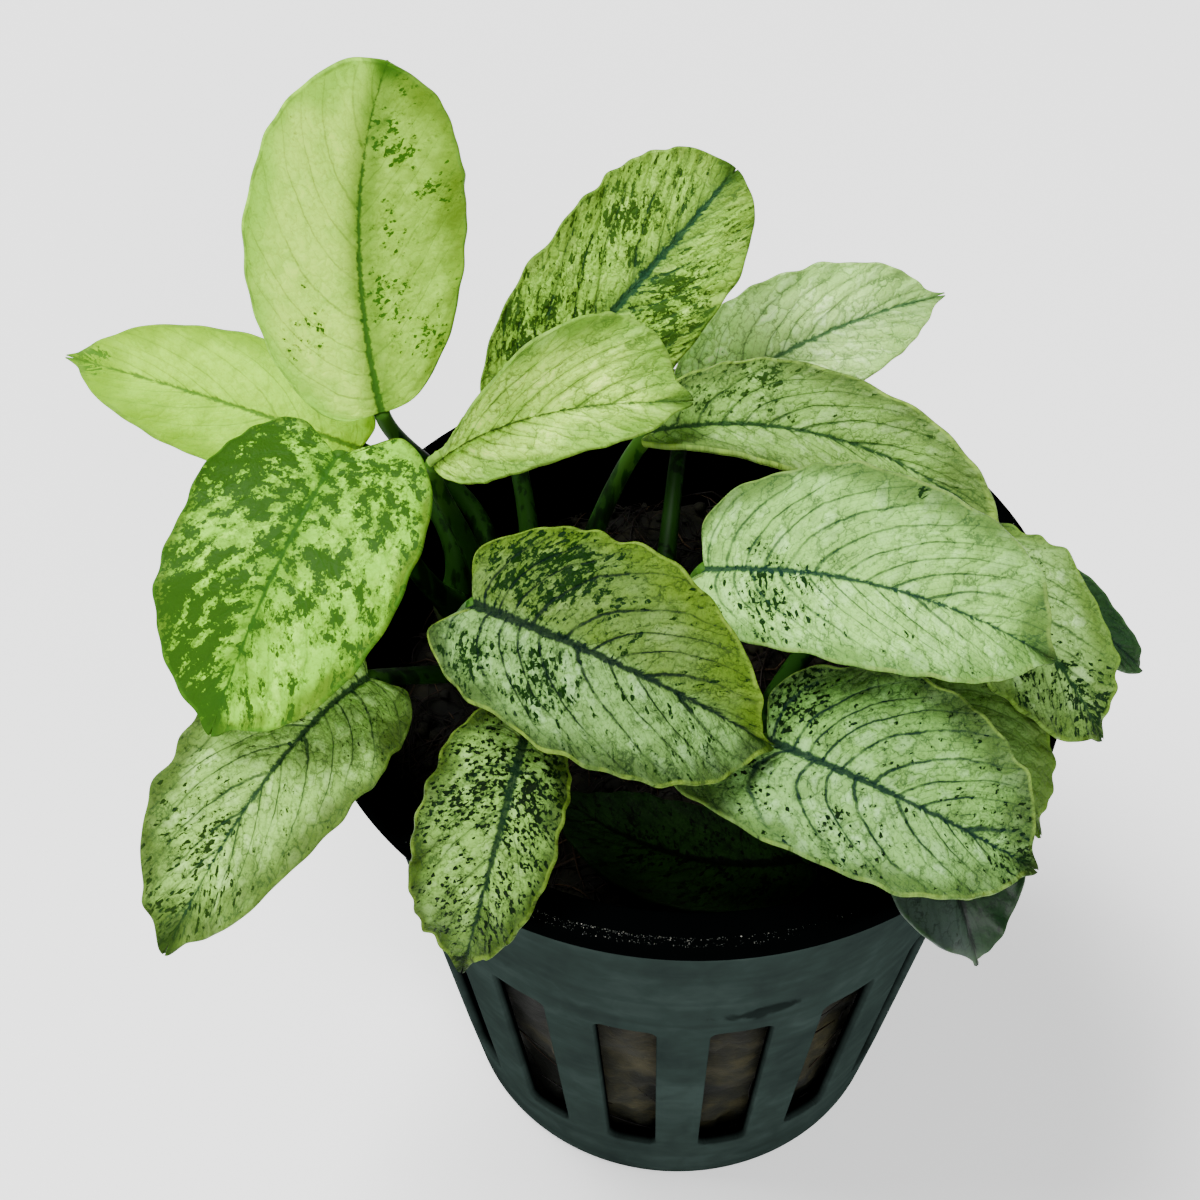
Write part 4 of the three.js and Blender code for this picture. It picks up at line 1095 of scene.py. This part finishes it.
    # From the bottom up: warm margin and clouds, painted highlights on the raised cells, the veinlet net
    # round them with painted shade in its hollows, fine grain, faint and full flecks, painted shade along
    # the side veins, small and main side veins, painted shade along the midrib, the midrib's band, the rim,
    # the dark tip and the duller under side.
    coats = (
        (warm, add(tree, "MapRange", jittered(edge, cloud, -5.0), skin["warm_mm"], 0.0, **SOFT)),
        (warm, add(tree, "MapRange", patchy, 0.45, 0.7, 0.0, 0.6)),
        # Painted highlight on the raised cells.
        (CELL_HIGHLIGHT, faded(add(tree, "MapRange", cells, 0.02, 0.25),
                        add(tree, "MapRange", tones, 0.4, 0.78, 0.0, skin["cell_highlights"]))),
        # The veinlet net, darkened also as painted shade in the hollows round the raised cells.
        (skin["rib"], faded(add(tree, "MapRange", cells, 0.08, 0.0, **SOFT),
                            add(tree, "MapRange", patchy, 0.38, 0.58, 0.1, skin["net"]))),
        (skin["rib"], add(tree, "MapRange", grainy, 0.5, 0.72, 0.0, 0.5 * skin["vein_dark"])),
        (skin["fleck"], add(tree, "MapRange", flecked, 0.48, 0.56, 0.0, skin["half_tone"], **SOFT)),
        (skin["fleck"], add(tree, "MapRange", flecked, 0.575, 0.592, **SOFT)),
        # Painted shade along the side veins.
        (skin["rib"], add(tree, "MapRange", off, 0.22, 0.0, 0.0, 0.16 * skin["vein_dark"], **SOFT)),
        (skin["rib"], small),
        (skin["rib"], main),
        # Painted shade along the midrib.
        (skin["rib"], add(tree, "MapRange", rib, 2.0, 0.2, 0.0, skin["midrib_shade"], **SOFT)),
        (skin["rib"], add(tree, "MapRange", ragged, -0.08, 0.12, 0.0, 0.94, **SOFT)),
        (skin["rim"], faded(add(tree, "MapRange", edge, MARGIN_MM, 0.4 * MARGIN_MM, **SOFT),
                            add(tree, "MapRange", patchy, 0.4, 0.62, 0.1, 0.75))),
        (skin["fleck"], add(tree, "MapRange", share, 0.94, 0.99, 0.0, 0.85, **SOFT)),
        (warm, add(tree, "MapRange", upper, 0.0, 1.0, 0.5, 0.0)),
    )
    for coat, cover in coats:
        colour = add(tree, "Mix", Factor=cover, A=colour, B=coat, data_type="RGBA",
                     blend_type="MULTIPLY" if coat is CELL_HIGHLIGHT else "MIX")

    rough = add(tree, "MapRange", cloud, 0.3, 0.7, skin["gloss"] - 0.06, skin["gloss"] + 0.1)
    relief = add(tree, "MapRange", cells, 0.0, 0.4, 0.0, 1.5)
    for pattern, height in ((main, -1.2), (patchy, 0.5)):
        relief = add(tree, "Math", pattern, height, relief, operation="MULTIPLY_ADD")
    bump = add(tree, "Bump", Height=relief, Strength=0.8 * leaf["quilt"], Distance=0.11 * MM)
    fill(tree, shader, Base_Color=colour, Roughness=rough, Normal=bump, IOR=1.45,
         Specular_IOR_Level=skin["specular"], Subsurface_Weight=0.12, Subsurface_Radius=(0.5, 1.0, 0.25),
         Subsurface_Scale=0.5 * MM)
    return material


SLOTS_OF_BLADES = {
    "yellow_green_blade": ("tall", "far_left"),
    "marbled_blade": ("heart", "back", "over_rim", "front", "under_right", "right"),
    "dark_blade": ("far_right", "dark_hanging", "in_pot"),
    "pale_blade": ("low_left", "low_right", "pale", "folded", "twisted", "back_right"),
}
for leaf_slot, names in SLOTS_OF_BLADES.items():
    for leaf_name in names:
        leaf = LEAVES[leaf_name]
        leaf_skin = blade_material(leaf, {**ORDINARY_SKIN, **SKINS[leaf_name]})
        dressed(build_blade(leaf), "blade_" + leaf_name, leaf_skin, ["leaf_" + leaf_name])


# Stalks: round green leaf stalks. Each one springs from the rhizome with a widened
# sheath at its foot and runs on into the midrib under its blade.
STALK_FOOT_RADIUS = 0.95 * MM
STALK_TOP_RADIUS = 0.6 * MM
SHEATH_SWELL = 0.45
SHEATH_SHARE = 0.12
CHANNEL_DEPTH = 0.1
STALK_SIDES = 14
STALK_STEPS = 40
STALK_RIB = (0.667 * MM, 0.667 * MM, 6.25 * MM)
STALK_CLOUD = 4.55 * MM
SHADE_ENDS = (55 * MM, 62 * MM)


def stalk_curve(leaf):
    """The way from the rhizome up and over to the start of the midrib."""
    root_share, lean = leaf["root"]
    at = root_share * (len(rhizome_axis) - 1)
    near = int(at)
    axis = mix(rhizome_axis[near], rhizome_axis[near + 1], at - near)
    run = Vector(rhizome_runs[near])
    outward = np.array(Matrix.Rotation(math.radians(lean), 3, run) @ Vector((0, 0, 1)))
    foot = axis + outward * RHIZOME_RADIUS * 0.8
    spot, run, up, _ = (rows[0] for rows in midrib_at(leaf, np.array([0.0])))
    arrival = unit(run + up)
    top = spot * MM - 0.12 * MM * up
    points = [foot, foot + outward * leaf["rise"] * MM, top - arrival * leaf["reach"] * MM, top]

    def curve(t):
        a, b, c, d = points
        return a * (1 - t) ** 3 + b * 3 * t * (1 - t) ** 2 + c * 3 * t * t * (1 - t) + d * t ** 3
    return curve


def stalk_radius(share, turn):
    """Widened by the sheath at its foot, tapered above and with a shallow channel along it."""
    sheath = SHEATH_SWELL * math.exp(-share / SHEATH_SHARE) * (1 + 0.3 * math.cos(turn))
    taper = mix(STALK_FOOT_RADIUS, STALK_TOP_RADIUS, math.sqrt(share))
    channel = 1 - CHANNEL_DEPTH * math.exp(-((turn - 1.2) / 0.5) ** 2)
    return taper * (1 + sheath) * channel


def stalk_material():
    """Leaf stalk: smooth satin skin, mid green, paler along its ribs and darker low in the pot's shade."""
    material, tree, shader = new_material("leaf_stalk_skin")
    place = add(tree, "TexCoord").node.outputs["Object"]
    ribs = add(tree, "Mapping", place, Scale=[1 / size for size in STALK_RIB])
    cloud = add(tree, "TexNoise", place, Scale=1 / STALK_CLOUD, Detail=4.0)
    both = add(tree, "Math", add(tree, "TexNoise", ribs, Scale=1.0, Detail=3.0), cloud)
    low = add(tree, "ValToRGB", both, stops=((0.75, "#040c02"), (0.95, "#0a2005"), (1.0, "#14320a")))
    high = add(tree, "ValToRGB", both, stops=((0.75, "#12300a"), (0.95, "#1e480e"), (1.0, "#366018")))
    raised = add(tree, "MapRange", add(tree, "SeparateXYZ", place).node.outputs["Z"], *SHADE_ENDS)
    colour = add(tree, "Mix", Factor=raised, A=low, B=high, data_type="RGBA")
    fill(tree, shader, Base_Color=colour, Roughness=0.45, Specular_IOR_Level=0.05, Subsurface_Weight=0.12,
         Subsurface_Radius=(0.5, 1.0, 0.25), Subsurface_Scale=0.6 * MM)
    return material


stalk_skin = stalk_material()
for leaf in LEAVES.values():
    stalk = rod(stalk_curve(leaf), stalk_radius, STALK_SIDES, STALK_STEPS)
    dressed(mesh_of(stalk), "stalk_" + leaf["name"], stalk_skin, ["stem_" + leaf["name"]])


# Studio: a plain pale floor that glows a little, as paper lit from behind does, one
# large softbox overhead, a weaker one in front, and a dim pale surround.
FLOOR_HALF = 1.6
SOFTBOXES = (
    {"name": "key", "at": (-0.4, 0.05, 1.0), "size": 0.5, "power": 21},
    {"name": "fill", "at": (0.3, -0.9, 0.6), "size": 0.7, "power": 9},
)
SURROUND = 0.18

bm = bmesh.new()
bmesh.ops.create_grid(bm, x_segments=1, y_segments=1, size=FLOOR_HALF)
floor = placed("floor", mesh_of(bm))
paper, paper_tree, paper_shader = new_material("pale_paper")
fill(paper_tree, paper_shader, Base_Color="#fafafa", Roughness=0.9, Specular_IOR_Level=0.0,
     Emission_Color="#ffffff", Emission_Strength=0.7)
floor.data.materials.append(paper)

for box in SOFTBOXES:
    light = bpy.data.lights.new(box["name"], "AREA")
    light.size = box["size"]
    light.energy = box["power"]
    lamp = placed(box["name"], light)
    lamp.location = box["at"]
    lamp.rotation_euler = Vector(box["at"]).to_track_quat("Z", "Y").to_euler()

world = bpy.data.worlds.new("pale surround")
world.use_nodes = True
fill(world.node_tree, world.node_tree.nodes["Background"], Color="#f2f5f5", Strength=SURROUND)
bpy.context.scene.world = world


# Camera: a 72 mm lens 175 mm from the middle of the lip, looking down on the pot,
# turned so that the lip's middle falls at its pixel in the photograph.
ELEVATION = math.radians(49.7)
ROLL = math.radians(-2.3)
DISTANCE = 175 * MM
IMAGE_SIDE = 1200
FOCAL_PIXELS = 2400
SENSOR = 36
LIP_MIDDLE_PIXEL = (688, 628)

lip_middle = Vector((0, 0, POT_HEIGHT))
backwards = Vector((0, -math.cos(ELEVATION), math.sin(ELEVATION)))
rightwards = Vector((0, 0, 1)).cross(backwards).normalized()
level = Matrix((rightwards, backwards.cross(rightwards), backwards)).transposed()
pixel_x, pixel_y = LIP_MIDDLE_PIXEL
to_pixel = Vector((pixel_x - IMAGE_SIDE / 2, IMAGE_SIDE / 2 - pixel_y, -FOCAL_PIXELS))
aim = to_pixel.rotation_difference(Vector((0, 0, -1))).to_matrix()
camera_data = bpy.data.cameras.new("camera")
camera_data.lens = FOCAL_PIXELS * SENSOR / IMAGE_SIDE
camera_data.sensor_width = SENSOR
camera_data.clip_start = 0.01
camera = placed("camera", camera_data)
turn_of_camera = level @ Matrix.Rotation(-ROLL, 3, "Z") @ aim
camera.matrix_world = Matrix.Translation(lip_middle + backwards * DISTANCE) @ turn_of_camera.to_4x4()
bpy.context.scene.camera = camera
